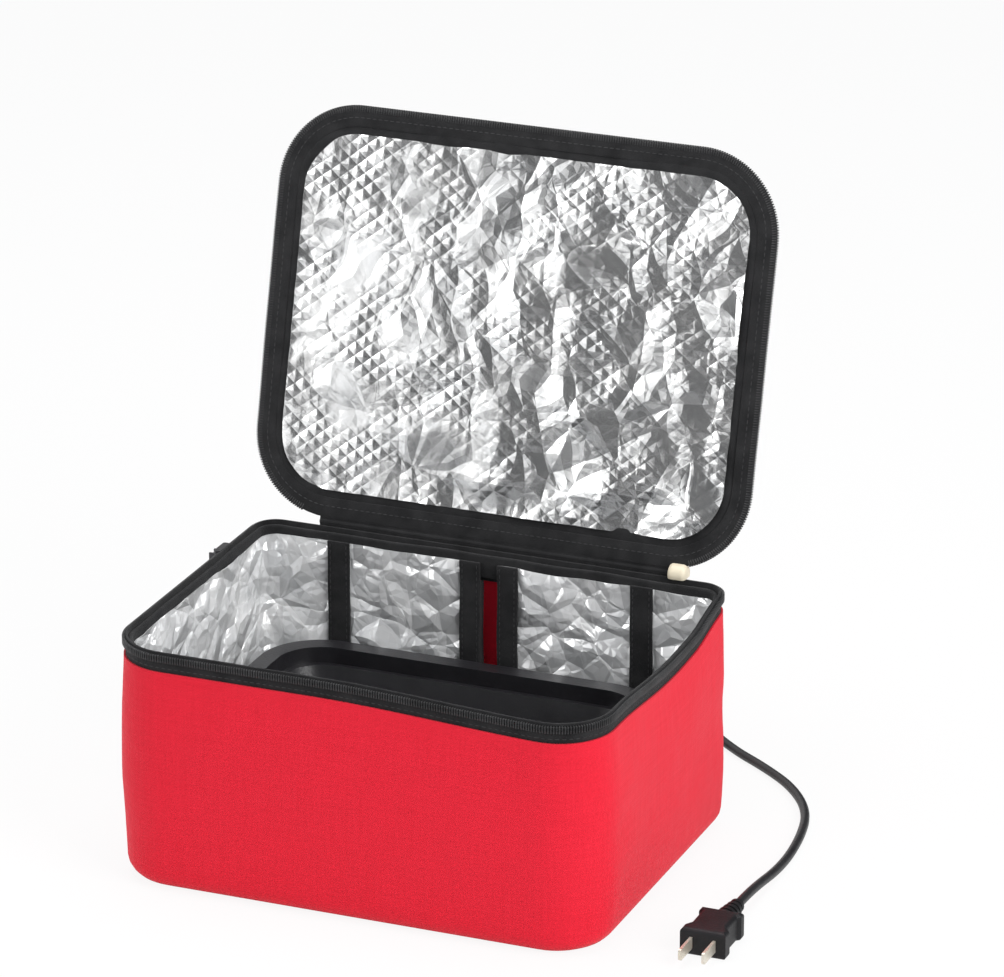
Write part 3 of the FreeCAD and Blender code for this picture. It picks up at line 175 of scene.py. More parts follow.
lens = bpy.data.cameras.new("photo_camera")
lens.sensor_fit = "HORIZONTAL"
lens.sensor_width = 36.0
lens.lens = LENS_LENGTH
lens.clip_end = 60.0
camera = bpy.data.objects.new("photo_camera", lens)
camera.location = CAMERA_PLACE
camera.rotation_euler = (math.radians(90 - CAMERA_PITCH), 0, math.radians(CAMERA_YAW))
bpy.context.scene.collection.objects.link(camera)
bpy.context.scene.camera = camera
bpy.context.scene.view_settings.view_transform = "Standard"


# Outer shell of the bag: a tub of red woven polyester over a stiff base board, sewn with rounded
# corners and a soft bottom edge. The foam behind it makes the walls stand out a little, and the
# open rim sags on the right. An outline is a width, a depth and the front and rear corner radii.
BAG_WIDTH = 0.274
BAG_DEPTH = 0.202
BAG = (BAG_WIDTH, BAG_DEPTH, (0.032, 0.014))
SHELL_TOP = 0.125
SHELL_THICK = 0.0010
WALL_LEVELS = 16
BOTTOM_ROUND = 0.011
BOTTOM_STEPS = 5
BOTTOM_SEAM = 0.0025
WALL_FULLNESS = 0.0030
WALL_HELD = 0.004
FOLD_DEPTH = 0.0011
SAG_DEPTH = 0.0058
SAG_DIP = 0.0040
SAG_SIDE = (-0.02, 0.13)
SAG_BACK = (0.05, 0.10)
SAG_UP = (0.02, 0.12)
SAG_MIDDLE = 0.015
SAG_REACH = 0.075
CORNER_SEGMENTS = 12
LONG_RUN = 0.03
RUN_CUTS = 31
RED = (0.76, 0.011, 0.034)
DEEP_RED = (0.66, 0.008, 0.025)
RED_THREADS = 1500.0
THREAD_RISE = 0.00012
SLUB_SCALE = 800.0
SLUB_STRETCH = 0.03
CLOTH_CREASE = 0.0010


def only(kind, parts):
    """The verts, edges or faces among the parts that an operator gives back."""
    return [part for part in parts if isinstance(part, kind)]


def rounded_face(bm, outline, height, middle_y=0.0):
    """A flat face with front and rear corners rounded, its straight sides divided into short runs."""
    width, depth, radii = outline
    bmesh.ops.create_grid(bm, x_segments=1, y_segments=1, size=0.5)
    bmesh.ops.scale(bm, vec=(width, depth, 1), verts=bm.verts)
    bmesh.ops.translate(bm, vec=(0, middle_y, height), verts=bm.verts)
    for way, radius in zip((-1, 1), radii):
        corners = [vert for vert in bm.verts if (vert.co.y - middle_y) * way > 0]
        bmesh.ops.bevel(
            bm,
            geom=corners,
            offset=radius,
            segments=CORNER_SEGMENTS,
            profile=0.5,
            affect="VERTICES",
            material=-1,
        )
    runs = [edge for edge in bm.edges if edge.calc_length() > LONG_RUN]
    bmesh.ops.subdivide_edges(bm, edges=runs, cuts=RUN_CUTS)
    return bm.faces[:][0]


def inset(bm, face, amount):
    """Draws a face in from its outline by an even amount."""
    bmesh.ops.inset_region(bm, faces=[face], thickness=amount, use_boundary=True, use_even_offset=True)


def quarter(outline, radius):
    """The half side, the corner and the half end that make a quarter of an outline."""
    width, depth = outline[:2]
    return depth / 2 - radius, math.pi * radius / 2, width / 2 - radius


def quarters(outline):
    """The lengths of a front and of a rear quarter of an outline."""
    return [sum(quarter(outline, radius)) for radius in outline[2]]


def run_round(point, outline):
    """Distance round an outline, from the middle of its right side, of a point on it."""
    front, rear = quarters(outline)
    radius = outline[2][1 if point.y >= 0 else 0]
    along, corner, across = quarter(outline, radius)
    x, y = abs(point.x), abs(point.y)
    if y <= along:
        run = y
    elif x <= across:
        run = along + corner + across - x
    else:
        run = along + radius * math.atan2(y - along, x - across)
    if point.y >= 0:
        return run if point.x >= 0 else 2 * rear - run
    return 2 * (rear + front) - run if point.x >= 0 else 2 * rear + run


def lay_cloth_round(bm, outline):
    """A UV map in metres: round the bag and up its walls, and flat on what faces up or down."""
    layer = bm.loops.layers.uv.new("cloth")
    half = sum(quarters(outline))
    for face in bm.faces:
        runs = [run_round(loop.vert.co, outline) for loop in face.loops]
        if max(runs) - min(runs) > half:
            runs = [run + 2 * half if run < half else run for run in runs]
        flat = abs(face.normal.z) > 0.7
        for loop, run in zip(face.loops, runs):
            place = loop.vert.co
            loop[layer].uv = (place.x, place.y) if flat else (run, place.z)


def ramp(value, start, end):
    """0 up to the start, 1 from the end on, and even in between."""
    return min(max((value - start) / (end - start), 0), 1)


def sag(place):
    """How far the open bag's soft rim has sunk at a place: most in the middle of the right side."""
    side = ramp(place.x, *SAG_SIDE)
    back = ramp(place.y, *SAG_BACK)
    up = ramp(place.z, *SAG_UP)
    dip = max(1 - ((place.y - SAG_MIDDLE) / SAG_REACH) ** 2, 0) ** 2
    depth = SAG_DEPTH + SAG_DIP * dip
    return depth * side**2 * (3 - 2 * side) * (1 - back**2 * (3 - 2 * back)) * up**1.5


def thicken(bm, amount):
    """Gives a sheet its thickness."""
    bmesh.ops.solidify(bm, geom=bm.faces[:], thickness=amount)


def new_group(name, inputs, outputs):
    """A node group with sockets of these names and kinds, and its inner ends."""
    group = bpy.data.node_groups.new(name, "ShaderNodeTree")
    for way, sockets in (("INPUT", inputs), ("OUTPUT", outputs)):
        for socket, kind in sockets.items():
            group.interface.new_socket(socket, in_out=way, socket_type="NodeSocket" + kind)
    return group, put(group, "NodeGroupInput").outputs, put(group, "NodeGroupOutput").inputs


def plain_weave():
    """Threads that pass over and under each other, uneven along their length in both ways."""
    group, given, leave = new_group(
        "plain_weave", {"Place": "Vector", "Threads": "Float"}, {"Height": "Float", "Shade": "Float"}
    )
    place = given["Place"]
    scaled = put(group, "ShaderNodeVectorMath", {0: place, "Scale": given["Threads"]}, operation="SCALE")
    axes = put(group, "ShaderNodeSeparateXYZ", {0: scaled.outputs[0]}).outputs
    waves = [maths(group, "SINE", maths(group, "MULTIPLY", axes[axis], math.pi)) for axis in ("X", "Y")]
    height = maths(group, "MULTIPLY_ADD", maths(group, "MULTIPLY", *waves), 0.5, 0.5)
    slubs = []
    for stretch in ((1.0, SLUB_STRETCH, 1.0), (SLUB_STRETCH, 1.0, 1.0)):
        drawn = put(group, "ShaderNodeVectorMath", {0: place, 1: stretch}, operation="MULTIPLY")
        slubs.append(mottle(group, drawn.outputs[0], SLUB_SCALE, 3.0))
    group.links.new(height, leave["Height"])
    group.links.new(maths(group, "MULTIPLY", maths(group, "ADD", *slubs), 0.5), leave["Shade"])
    return group


def colour_between(tree, amount, low, high, first, second):
    """A colour that goes from the first to the second as amount goes from low to high."""
    blend = put(tree, "ShaderNodeValToRGB", {0: amount})
    for element, position, colour in zip(blend.color_ramp.elements, (low, high), (first, second)):
        element.position = position
        element.color = (*colour, 1)
    return blend.outputs["Color"]


def raise_surface(tree, shader, heights):
    """Bumps laid over each other on a shader's normal, from (height, metres deep) pairs."""
    normal = None
    for height, depth in heights:
        bump = put(tree, "ShaderNodeBump", {"Height": height, "Distance": depth, "Strength": 1.0})
        if normal is not None:
            tree.links.new(normal, bump.inputs["Normal"])
        normal = bump.outputs["Normal"]
    tree.links.new(normal, shader.inputs["Normal"])


weave_group = plain_weave()


def cloth_finish(name, light, dark, threads, sheen):
    """Woven cloth that follows the piece's own cloth map."""
    material, tree, shader = new_finish(
        name, {"Sheen Weight": sheen, "Sheen Roughness": 0.4, "Specular IOR Level": 0.25}
    )
    place = put(tree, "ShaderNodeUVMap", uv_map="cloth").outputs[0]
    weave = put(tree, "ShaderNodeGroup", node_tree=weave_group)
    tree.links.new(place, weave.inputs["Place"])
    weave.inputs["Threads"].default_value = threads
    shade = weave.outputs["Shade"]
    tree.links.new(colour_between(tree, shade, 0.25, 0.75, dark, light), shader.inputs["Base Color"])
    tree.links.new(mapped(tree, shade, 0.0, 1.0, 0.9, 0.66), shader.inputs["Roughness"])
    creases = mottle(tree, place, 38.0, 3.0)
    threads_over = weave.outputs["Height"]
    raise_surface(
        tree, shader, [(creases, CLOTH_CREASE), (shade, THREAD_RISE), (threads_over, THREAD_RISE)]
    )
    return material


red_cloth = cloth_finish("red_cloth", RED, DEEP_RED, RED_THREADS, 0.12)

bm = bmesh.new()
cap = rounded_face(bm, BAG, SHELL_TOP)
for level in range(WALL_LEVELS):
    above = cap
    made = bmesh.ops.extrude_face_region(bm, geom=[cap])["geom"]
    cap = only(bmesh.types.BMFace, made)[0]
    bmesh.ops.delete(bm, geom=[above], context="FACES_ONLY")
    bmesh.ops.translate(bm, vec=(0, 0, -(SHELL_TOP - BOTTOM_ROUND) / WALL_LEVELS), verts=cap.verts)
for step in range(BOTTOM_STEPS):
    last, turn = [math.pi / 2 * n / BOTTOM_STEPS for n in (step, step + 1)]
    narrower = BOTTOM_ROUND * (math.cos(last) - math.cos(turn))
    drop = BOTTOM_ROUND * (math.sin(turn) - math.sin(last))
    inset(bm, cap, narrower)
    bmesh.ops.translate(bm, vec=(0, 0, -drop), verts=cap.verts)
inset(bm, cap, BOTTOM_SEAM)
bmesh.ops.recalc_face_normals(bm, faces=bm.faces)
lay_cloth_round(bm, BAG)
bm.normal_update()
for vert in bm.verts:
    x, y, z = vert.co
    out = Vector((vert.normal.x, vert.normal.y, 0))
    slack = math.sin(math.pi * ramp(z, WALL_HELD, SHELL_TOP - WALL_HELD)) ** 0.8
    straight = 1 - min(abs(x) / (BAG_WIDTH / 2), 1) ** 4 * min(abs(y) / (BAG_DEPTH / 2), 1) ** 4
    fold = noise.fractal(Vector((x * 14, y * 14, z * 22)), 1.0, 2.0, 3)
    vert.co += out * slack * (WALL_FULLNESS * straight + FOLD_DEPTH * fold)
    vert.co.z -= sag(Vector((x, y, z)))
thicken(bm, SHELL_THICK)
bag_shell = piece("bag_shell", bm, red_cloth)
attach(bag_shell, "bag")
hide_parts("outer_shell")


# Base board: a stiff sheet of grey pressed fibre, cut to the bag's outline. It is dropped into the
# bottom of the tub, under the floor's foam, and keeps the bag flat where it stands.
def grain_finish(name, light, dark, scale, depth, rough, metal=0.0, settings=None):
    """A finish with a fine even grain: moulded, pressed or brushed, by its scale and depth."""
    material, tree, shader = new_finish(name, {"Metallic": metal, **(settings or {})})
    place = put(tree, "ShaderNodeTexCoord").outputs["Object"]
    fine = mottle(tree, place, scale, 3.0)
    slow = mottle(tree, place, scale * 0.06, 2.0)
    tree.links.new(colour_between(tree, slow, 0.32, 0.68, dark, light), shader.inputs["Base Color"])
    tree.links.new(mapped(tree, fine, 0.0, 1.0, *rough), shader.inputs["Roughness"])
    raise_surface(tree, shader, [(fine, depth)])
    return material


def dress(finish, *names):
    """Gives carried-over solids their finish."""
    for name in names:
        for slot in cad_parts[name].material_slots:
            slot.material = finish


fibre_board = grain_finish(
    "fibre_board", (0.20, 0.19, 0.18), (0.13, 0.12, 0.11), 900.0, 0.0002, (0.8, 0.95)
)
dress(fibre_board, "base_board")


# Lining: foil film bonded to foam board, one long panel round the walls, open in a slot at the
# rear, and one on the floor. The film is thin, so it creases softly over the foam, and its bare
# edge is turned up inside the rim.
LINING_IN = 0.00584
LEAST_RADIUS = 0.002
LINING_BOTTOM = 0.0067
LINING_TOP = 0.11788
LINING_LEVELS = 30
LIP_TOP = 0.1288
LIP_LEVELS = 5
LIP_THICK = 0.0003
FOAM_BACK = 0.0034
SLOT_HALF = 0.0065
FLOOR_TOP = 0.0083
FLOOR_DROP = 0.0005
FLOOR_LINING_IN = 0.00596
FLOOR_LINING_THICK = 0.0042
FLOOR_SPACING = 0.004
CREASE_SLOPE = 1.6
FLOOR_CREASES = ((0.03, 0.0005), (0.014, 0.0003))
WALL_CREASES = ((0.034, 0.0018), (0.017, 0.0008))
WALL_SWELL = 0.0011
WALL_LEAST = -0.0006
WALL_LEAST_IN_RIM = -0.0003
WALL_IN_RIM = LINING_TOP - 0.006
WALL_FREE = 0.018
LIP_FREE = 0.004
LIP_WAVE = 0.0012
FOIL_BRIGHT = (0.97, 0.97, 0.97)
FOIL_DULL = (0.88, 0.89, 0.90)
CRINKLES = ((55.0, 1.0), (125.0, 0.45), (330.0, 0.07))
CRINKLE_BEND = 0.008
EMBOSS_DEPTH = 0.0012
PANELS = ("front", "left", "right", "rear_left", "rear_right")


def taken_in(outline, amount):
    """The outline that lies inside another by an even amount."""
    width, depth, radii = outline
    inner_radii = [max(radius - amount, LEAST_RADIUS) for radius in radii]
    return width - 2 * amount, depth - 2 * amount, inner_radii


def crease(place, *sizes):
    """Creased film: flat facets between ridges, at each (size of facet, depth)."""
    height = 0.0
    for size, depth in sizes:
        nearest, second = noise.voronoi(place / size)[0][:2]
        height += depth * (min((second - nearest) * CREASE_SLOPE, 1.0) - 0.5)
    return height


def crinkle():
    """Fine creases in foil film at three sizes."""
    group, given, leave = new_group(
        "foil_crinkle", {"Place": "Vector", "Size": "Float"}, {"Height": "Float", "Haze": "Float"}
    )
    place = given["Place"]
    bent = put(group, "ShaderNodeTexNoise", {"Vector": place, "Scale": 40.0, "Detail": 0.0})
    bend = bent.outputs["Color"]
    shift = put(group, "ShaderNodeVectorMath", {0: bend, "Scale": CRINKLE_BEND}, operation="SCALE")
    moved = put(group, "ShaderNodeVectorMath", {0: place, 1: shift.outputs[0]}, operation="ADD")
    total = 0.0
    for scale, part in CRINKLES:
        cells = put(
            group,
            "ShaderNodeTexVoronoi",
            {"Vector": moved.outputs[0], "Scale": maths(group, "MULTIPLY", given["Size"], scale)},
            feature="DISTANCE_TO_EDGE",
        )
        total = maths(group, "MULTIPLY_ADD", cells.outputs["Distance"], part, total)
    group.links.new(total, leave["Height"])
    group.links.new(mottle(group, place, 45.0, 5.0), leave["Haze"])
    return group


crinkle_group = crinkle()


def foil_finish(name, metal, size, depth, rough, emboss=None):
    """Bright aluminium film with creases, and where it is given, an embossed diamond pattern."""
    material, tree, shader = new_finish(name, {"Metallic": metal})
    creases = put(tree, "ShaderNodeGroup", node_tree=crinkle_group)
    tree.links.new(put(tree, "ShaderNodeTexCoord").outputs["Object"], creases.inputs["Place"])
    creases.inputs["Size"].default_value = size
    haze = creases.outputs["Haze"]
    colour = colour_between(tree, haze, 0.3, 0.7, FOIL_DULL, FOIL_BRIGHT)
    tree.links.new(colour, shader.inputs["Base Color"])
    tree.links.new(mapped(tree, haze, 0.0, 1.0, *rough), shader.inputs["Roughness"])
    heights = [(creases.outputs["Height"], depth)]
    if emboss is not None:
        pattern, slack = emboss(tree)
        loose = maths(tree, "MULTIPLY", creases.outputs["Height"], slack)
        heights = [(loose, depth), (pattern, EMBOSS_DEPTH)]
    raise_surface(tree, shader, heights)
    return material


wall_foil = foil_finish("wall_foil", 0.36, 0.42, 0.017, (0.14, 0.30))
grey_foam = grain_finish(
    "grey_foam", (0.42, 0.42, 0.43), (0.34, 0.34, 0.35), 700.0, 0.0004, (0.85, 0.98)
)


def film_rise(place):
    """How far the wall film stands in from its flat place, held back at the floor and in the rim."""
    soft = noise.fractal(place * 26, 1.0, 2.0, 2)
    height = WALL_SWELL * soft + crease(place, *WALL_CREASES)
    height = max(height, WALL_LEAST_IN_RIM if place.z > WALL_IN_RIM else WALL_LEAST)
    return height * min((place.z - LINING_BOTTOM) / WALL_FREE, 1)


def wall_sheet(bottom, top, levels):
    """The lining's face round the walls between two heights, open at the slot and facing inwards."""
    bm = bmesh.new()
    face = rounded_face(bm, taken_in(BAG, LINING_IN), bottom)
    rim = face.edges[:]
    bmesh.ops.delete(bm, geom=[face], context="FACES_ONLY")
    for level in range(levels):
        made = bmesh.ops.extrude_edge_only(bm, edges=rim)["geom"]
        rim = [edge for edge in only(bmesh.types.BMEdge, made) if edge.is_boundary]
        tops = {vert for edge in rim for vert in edge.verts}
        bmesh.ops.translate(bm, vec=(0, 0, (top - bottom) / levels), verts=list(tops))
    for side in (-1, 1):
        whole = [*bm.verts, *bm.edges, *bm.faces]
        bmesh.ops.bisect_plane(bm, geom=whole, plane_co=(side * SLOT_HALF, 0, 0), plane_no=(1, 0, 0))
    centres = {face: face.calc_center_median() for face in bm.faces}
    in_slot = [face for face, centre in centres.items() if abs(centre.x) < SLOT_HALF and centre.y > 0]
    bmesh.ops.delete(bm, geom=in_slot, context="FACES")
    bmesh.ops.recalc_face_normals(bm, faces=bm.faces)
    for face in bm.faces:
        centre = face.calc_center_median()
        if face.normal.dot(Vector((centre.x, centre.y, 0))) > 0:
            face.normal_flip()
    bm.normal_update()
    return bm


bm = wall_sheet(LINING_BOTTOM, LINING_TOP, LINING_LEVELS)
for vert in bm.verts:
    place = vert.co.copy()
    vert.co += vert.normal * film_rise(place)
    vert.co.z -= sag(place)
thicken(bm, FOAM_BACK)
for face in bm.faces:
    centre = face.calc_center_median()
    face.material_index = 1 if face.normal.dot(Vector((centre.x, centre.y, 0))) > 0.01 else 0
wall_lining = piece("wall_lining", bm, wall_foil, grey_foam)
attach(wall_lining, "bag")
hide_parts(*["foil_" + panel for panel in PANELS], *["foam_" + panel for panel in PANELS])

bm = wall_sheet(LINING_TOP, LIP_TOP, LIP_LEVELS)
for vert in bm.verts:
    place = vert.co.copy()
    free = min((place.z - LINING_TOP) / LIP_FREE, 1)
    vert.co += vert.normal * film_rise(place)
    vert.co.z += LIP_WAVE * noise.noise(place * 40) * free - sag(place)
thicken(bm, LIP_THICK)
lining_lip = piece("lining_lip", bm, wall_foil)
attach(lining_lip, "bag")
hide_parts(*["foil_" + panel for panel in PANELS])


def trimmed_sheet(outline, spacing):
    """A flat sheet of small squares, drawn in at its corners to a rounded outline."""
    width, depth, radii = outline
    bm = bmesh.new()
    across, along = round(width / spacing), round(depth / spacing)
    bmesh.ops.create_grid(bm, x_segments=across, y_segments=along, size=0.5)
    bmesh.ops.scale(bm, vec=(width, depth, 1), verts=bm.verts)
    for vert in bm.verts:
        radius = radii[1] if vert.co.y > 0 else radii[0]
        x = abs(vert.co.x) - width / 2 + radius
        y = abs(vert.co.y) - depth / 2 + radius
        if x > 0 and y > 0:
            draw_in = max(x, y) / math.hypot(x, y)
            vert.co.x = math.copysign(width / 2 - radius + x * draw_in, vert.co.x)
            vert.co.y = math.copysign(depth / 2 - radius + y * draw_in, vert.co.y)
    return bm


bm = trimmed_sheet(taken_in(BAG, FLOOR_LINING_IN), FLOOR_SPACING)
for vert in bm.verts:
    vert.co.z = FLOOR_TOP - FLOOR_DROP + crease(vert.co, *FLOOR_CREASES)
bmesh.ops.recalc_face_normals(bm, faces=bm.faces)
thicken(bm, FLOOR_LINING_THICK)
for face in bm.faces:
    face.material_index = 1 if face.normal.z < 0.5 else 0
floor_lining = piece("floor_lining", bm, wall_foil, grey_foam)
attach(floor_lining, "bag")
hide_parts("foil_floor", "foam_floor")


# Bindings inside the bag: black woven tapes sewn over the lining's rear corner seams and folded
# over both edges of the slot, each held by a row of stitches along either side.
TAPE_INNER = BAG_DEPTH / 2 - LINING_IN - 0.00012
TAPE_ROUNDING = 0.0005
FOLD_ROUNDING = 0.0004
BINDING_THICK = 0.0014
TAPE_SUNK = 0.0002
FOLD_LAP = 0.0004
FOLD_BACK = BAG_DEPTH / 2 - 0.0012
BINDING_TOP = LIP_TOP + 0.001
SLOT_TAPE = 0.012
SLOT_TAPE_NEAR = SLOT_HALF - 0.0015
SLOT_TAPE_BOTTOM = 0.0304
CORNER_TAPE = 0.013
CORNER_TAPE_MIDDLE = BAG_WIDTH / 2 - 0.042 - CORNER_TAPE / 2
STITCH_LENGTH = 0.0026
STITCH_GAP = 0.0009
STITCH_SIZE = (0.0006, 0.0005, STITCH_LENGTH)
STITCH_IN = 0.0018
STITCH_LIFT = 0.00005

black_tape = grain_finish(
    "black_tape",
    (0.022, 0.022, 0.023),
    (0.011, 0.011, 0.012),
    1500.0,
    0.00045,
    (0.72, 0.98),
    settings={"Sheen Weight": 0.10, "Sheen Roughness": 0.5, "Specular IOR Level": 0.2},
)
thread = grain_finish(
    "black_thread", (0.034, 0.034, 0.036), (0.020, 0.020, 0.022), 2500.0, 0.0001, (0.5, 0.7)
)


def soft_bar(bm, low, high, rounding):
    """A bar with rounded edges between two corners, divided along its length."""
    made = bmesh.ops.create_cube(bm, size=1.0)["verts"]
    size = Vector(high) - Vector(low)
    bmesh.ops.scale(bm, vec=size, verts=made)
    bmesh.ops.translate(bm, vec=(Vector(low) + Vector(high)) / 2, verts=made)
    edges = [edge for edge in bm.edges if edge.verts[0] in made]
    bmesh.ops.bevel(
        bm, geom=edges, offset=rounding, segments=3, profile=0.5, affect="EDGES", material=-1
    )
    runs = [edge for edge in bm.edges if edge.calc_length() > max(size) / 2]
    bmesh.ops.subdivide_edges(bm, edges=runs, cuts=24, use_grid_fill=True)


def repeated(bm, places):
    """Copies of a small shape, one by each matrix, in place of the shape itself."""
    first = [*bm.verts, *bm.edges, *bm.faces]
    corners = bm.verts[:]
    for place in places:
        made = bmesh.ops.duplicate(bm, geom=first)["geom"]
        bmesh.ops.transform(bm, matrix=place, verts=only(bmesh.types.BMVert, made))
    bmesh.ops.delete(bm, geom=corners, context="VERTS")
    return bm


def sewn(rows):
    """Rows of lockstitch: short threads along each row, a (start, end, outward way) line."""
    bm = bmesh.new()
    bmesh.ops.create_uvsphere(bm, u_segments=6, v_segments=4, radius=0.5)
    bmesh.ops.scale(bm, vec=STITCH_SIZE, verts=bm.verts)
    places = []
    for start, end, out in rows:
        start, end, out = Vector(start), Vector(end), Vector(out)
        along = (end - start).normalized()
        turn = Matrix((along.cross(out), out, along)).transposed().to_4x4()
        count = max(round((end - start).length / (STITCH_LENGTH + STITCH_GAP)), 1)
        for number in range(count):
            places.append(Matrix.Translation(start.lerp(end, (number + 0.5) / count)) @ turn)
    return repeated(bm, places)


def waver(bm, amount, seed):
    """Lets sewn tapes run a little out of true."""
    for vert in bm.verts:
        vert.co.x += amount * noise.noise(Vector((seed, 0, vert.co.z * 40)))
        vert.co.y += 0.0002 * noise.noise(Vector((vert.co.x * 90, 5, vert.co.z * 60)))


bm = bmesh.new()
for side in (-1, 1):
    near, fold, far = [side * x for x in (SLOT_TAPE_NEAR, SLOT_HALF, SLOT_TAPE_NEAR + SLOT_TAPE)]
    soft_bar(
        bm,
        (min(near, far), TAPE_INNER - BINDING_THICK, SLOT_TAPE_BOTTOM),
        (max(near, far), TAPE_INNER + TAPE_SUNK, BINDING_TOP),
        TAPE_ROUNDING,
    )
    soft_bar(
        bm,
        (min(near, fold), TAPE_INNER - FOLD_LAP, SLOT_TAPE_BOTTOM),
        (max(near, fold), FOLD_BACK, LINING_TOP),
        FOLD_ROUNDING,
    )
waver(bm, 0.0005, 3)
slot_tapes = piece("slot_tapes", bm, black_tape)
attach(slot_tapes, "bag")
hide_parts("slot_bindings")

bm = bmesh.new()
for side in (-1, 1):
    middle = side * CORNER_TAPE_MIDDLE
    soft_bar(
        bm,
        (middle - CORNER_TAPE / 2, TAPE_INNER - BINDING_THICK, FLOOR_TOP + 0.0002),
        (middle + CORNER_TAPE / 2, TAPE_INNER + TAPE_SUNK, BINDING_TOP),
        TAPE_ROUNDING,
    )
waver(bm, 0.0006, 8)
corner_tapes = piece("corner_tapes", bm, black_tape)
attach(corner_tapes, "bag")
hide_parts("corner_bindings")

face_y = TAPE_INNER - BINDING_THICK - STITCH_LIFT
rows = []
for side in (-1, 1):
    for middle, half, bottom in (
        (SLOT_TAPE_NEAR + SLOT_TAPE / 2, SLOT_TAPE / 2, SLOT_TAPE_BOTTOM),
        (CORNER_TAPE_MIDDLE, CORNER_TAPE / 2, FLOOR_TOP),
    ):
        for edge in (-1, 1):
            x = side * (middle + edge * (half - STITCH_IN))
            rows.append(((x, face_y, bottom + 0.002), (x, face_y, LIP_TOP), (0, -1, 0)))
tape_stitches = piece("tape_stitches", sewn(rows), thread)
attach(tape_stitches, "bag")


# Zip rim: a black woven tape sewn inside the top of the fabric, a folded binding that closes the
# lining behind it, and the bag's half of a nylon zip, its fine teeth crimped on a corded bead.
TAPE_IN = 0.00112
TAPE_THICK = 0.0012
TAPE_BOTTOM = 0.118
TAPE_EDGE = 0.0004
BAG_HEIGHT = 0.136
RIM_BINDING_IN = 0.00244
RIM_BINDING_THICK = 0.0026
RIM_BINDING_BOTTOM = 0.1205
RIM_BINDING_TOP = 0.1335
CHAIN_LINE = BAG_HEIGHT - 0.0032
CHAIN = taken_in(BAG, TAPE_IN)
BEAD_HEIGHT = 0.0026
BEAD_DEPTH = 0.0011
TOOTH_PITCH = 0.0014
TOOTH_LENGTH = 0.0008
BAG_TOOTH = (TOOTH_LENGTH, 0.0019, 0.0040)
BAG_TOOTH_OUT = 0.0009
ZIP_FREE_HALF = 0.113
RIM_WAVE = 0.0004
RIM_FREE = 0.13
RIM_FOLD_WAVE = 0.0007
RIM_STITCHES = 252
RIM_STITCH_LINE = SHELL_TOP + 0.0022
RIM_BINDING_EDGE = 0.0011
BEAD_EDGE = 0.0005
BEAD_LAP = 0.0002
BEAD_REAR = 0.09


def band(outline, wall, bottom, top, edge, middle_y=0.0):
    """A ring with a rounded outline, a wall of even thickness and soft edges."""
    bm = bmesh.new()
    inner = rounded_face(bm, outline, bottom, middle_y)
    inset(bm, inner, wall)
    bmesh.ops.delete(bm, geom=[inner], context="FACES_ONLY")
    made = bmesh.ops.extrude_face_region(bm, geom=bm.faces[:])["geom"]
    bmesh.ops.translate(bm, vec=(0, 0, top - bottom), verts=only(bmesh.types.BMVert, made))
    bmesh.ops.recalc_face_normals(bm, faces=bm.faces)
    corners = [line for line in bm.edges if line.calc_face_angle(0) > 1.2]
    bmesh.ops.bevel(bm, geom=corners, offset=edge, segments=3, profile=0.5, affect="EDGES", material=-1)
    return bm


def place_round(run, outline):
    """The point and the outward way at a distance round an outline, as run_round counts it."""
    width, depth, radii = outline
    front, rear = quarters(outline)
    run %= 2 * (front + rear)
    if run < 2 * rear:
        radius, rest = radii[1], min(run, 2 * rear - run)
        flip = Vector((1 if run < rear else -1, 1, 1))
    else:
        radius, rest = radii[0], min(run - 2 * rear, 2 * (rear + front) - run)
        flip = Vector((-1 if run < 2 * rear + front else 1, -1, 1))
    along, corner, across = quarter(outline, radius)
    if rest < along:
        point, out = Vector((width / 2, rest, 0)), Vector((1, 0, 0))
    elif rest < along + corner:
        angle = (rest - along) / radius
        out = Vector((math.cos(angle), math.sin(angle), 0))
        point = Vector((across, along, 0)) + out * radius
    else:
        point, out = Vector((across - (rest - along - corner), depth / 2, 0)), Vector((0, 1, 0))
    return point * flip, out * flip


bm = band(CHAIN, TAPE_THICK, TAPE_BOTTOM, BAG_HEIGHT, TAPE_EDGE)
for vert in bm.verts:
    wave = RIM_WAVE * abs(noise.noise(vert.co * 30)) if vert.co.z > RIM_FREE else 0
    vert.co.z -= wave + sag(vert.co)
rim_band = piece("rim_band", bm, black_tape)
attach(rim_band, "bag")
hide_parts("rim_tape")

rim_outline = taken_in(BAG, RIM_BINDING_IN)
bm = band(rim_outline, RIM_BINDING_THICK, RIM_BINDING_BOTTOM, RIM_BINDING_TOP, RIM_BINDING_EDGE)
for vert in bm.verts:
    vert.co.z += RIM_FOLD_WAVE * noise.noise(vert.co * 34) - sag(vert.co)
rim_fold = piece("rim_fold", bm, black_tape)
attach(rim_fold, "bag")
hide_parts("rim_binding")

zip_nylon = grain_finish(
    "zip_nylon", (0.030, 0.030, 0.032), (0.015, 0.015, 0.016), 1200.0, 0.00012, (0.3, 0.5)
)


def teeth_at(places, size):
    """Nylon teeth with chamfered edges, one at each place, turned to face outwards."""
    bm = bmesh.new()
    bmesh.ops.create_cube(bm, size=1.0)
    bmesh.ops.scale(bm, vec=size, verts=bm.verts)
    chamfer = TOOTH_LENGTH * 0.22
    bmesh.ops.bevel(
        bm, geom=bm.edges[:], offset=chamfer, segments=1, profile=0.5, affect="EDGES", material=-1
    )
    turned = []
    for point, out in places:
        turn = Matrix((Vector((-out.y, out.x, 0)), out, (0, 0, 1))).transposed().to_4x4()
        turned.append(Matrix.Translation(point) @ turn)
    return repeated(bm, turned)


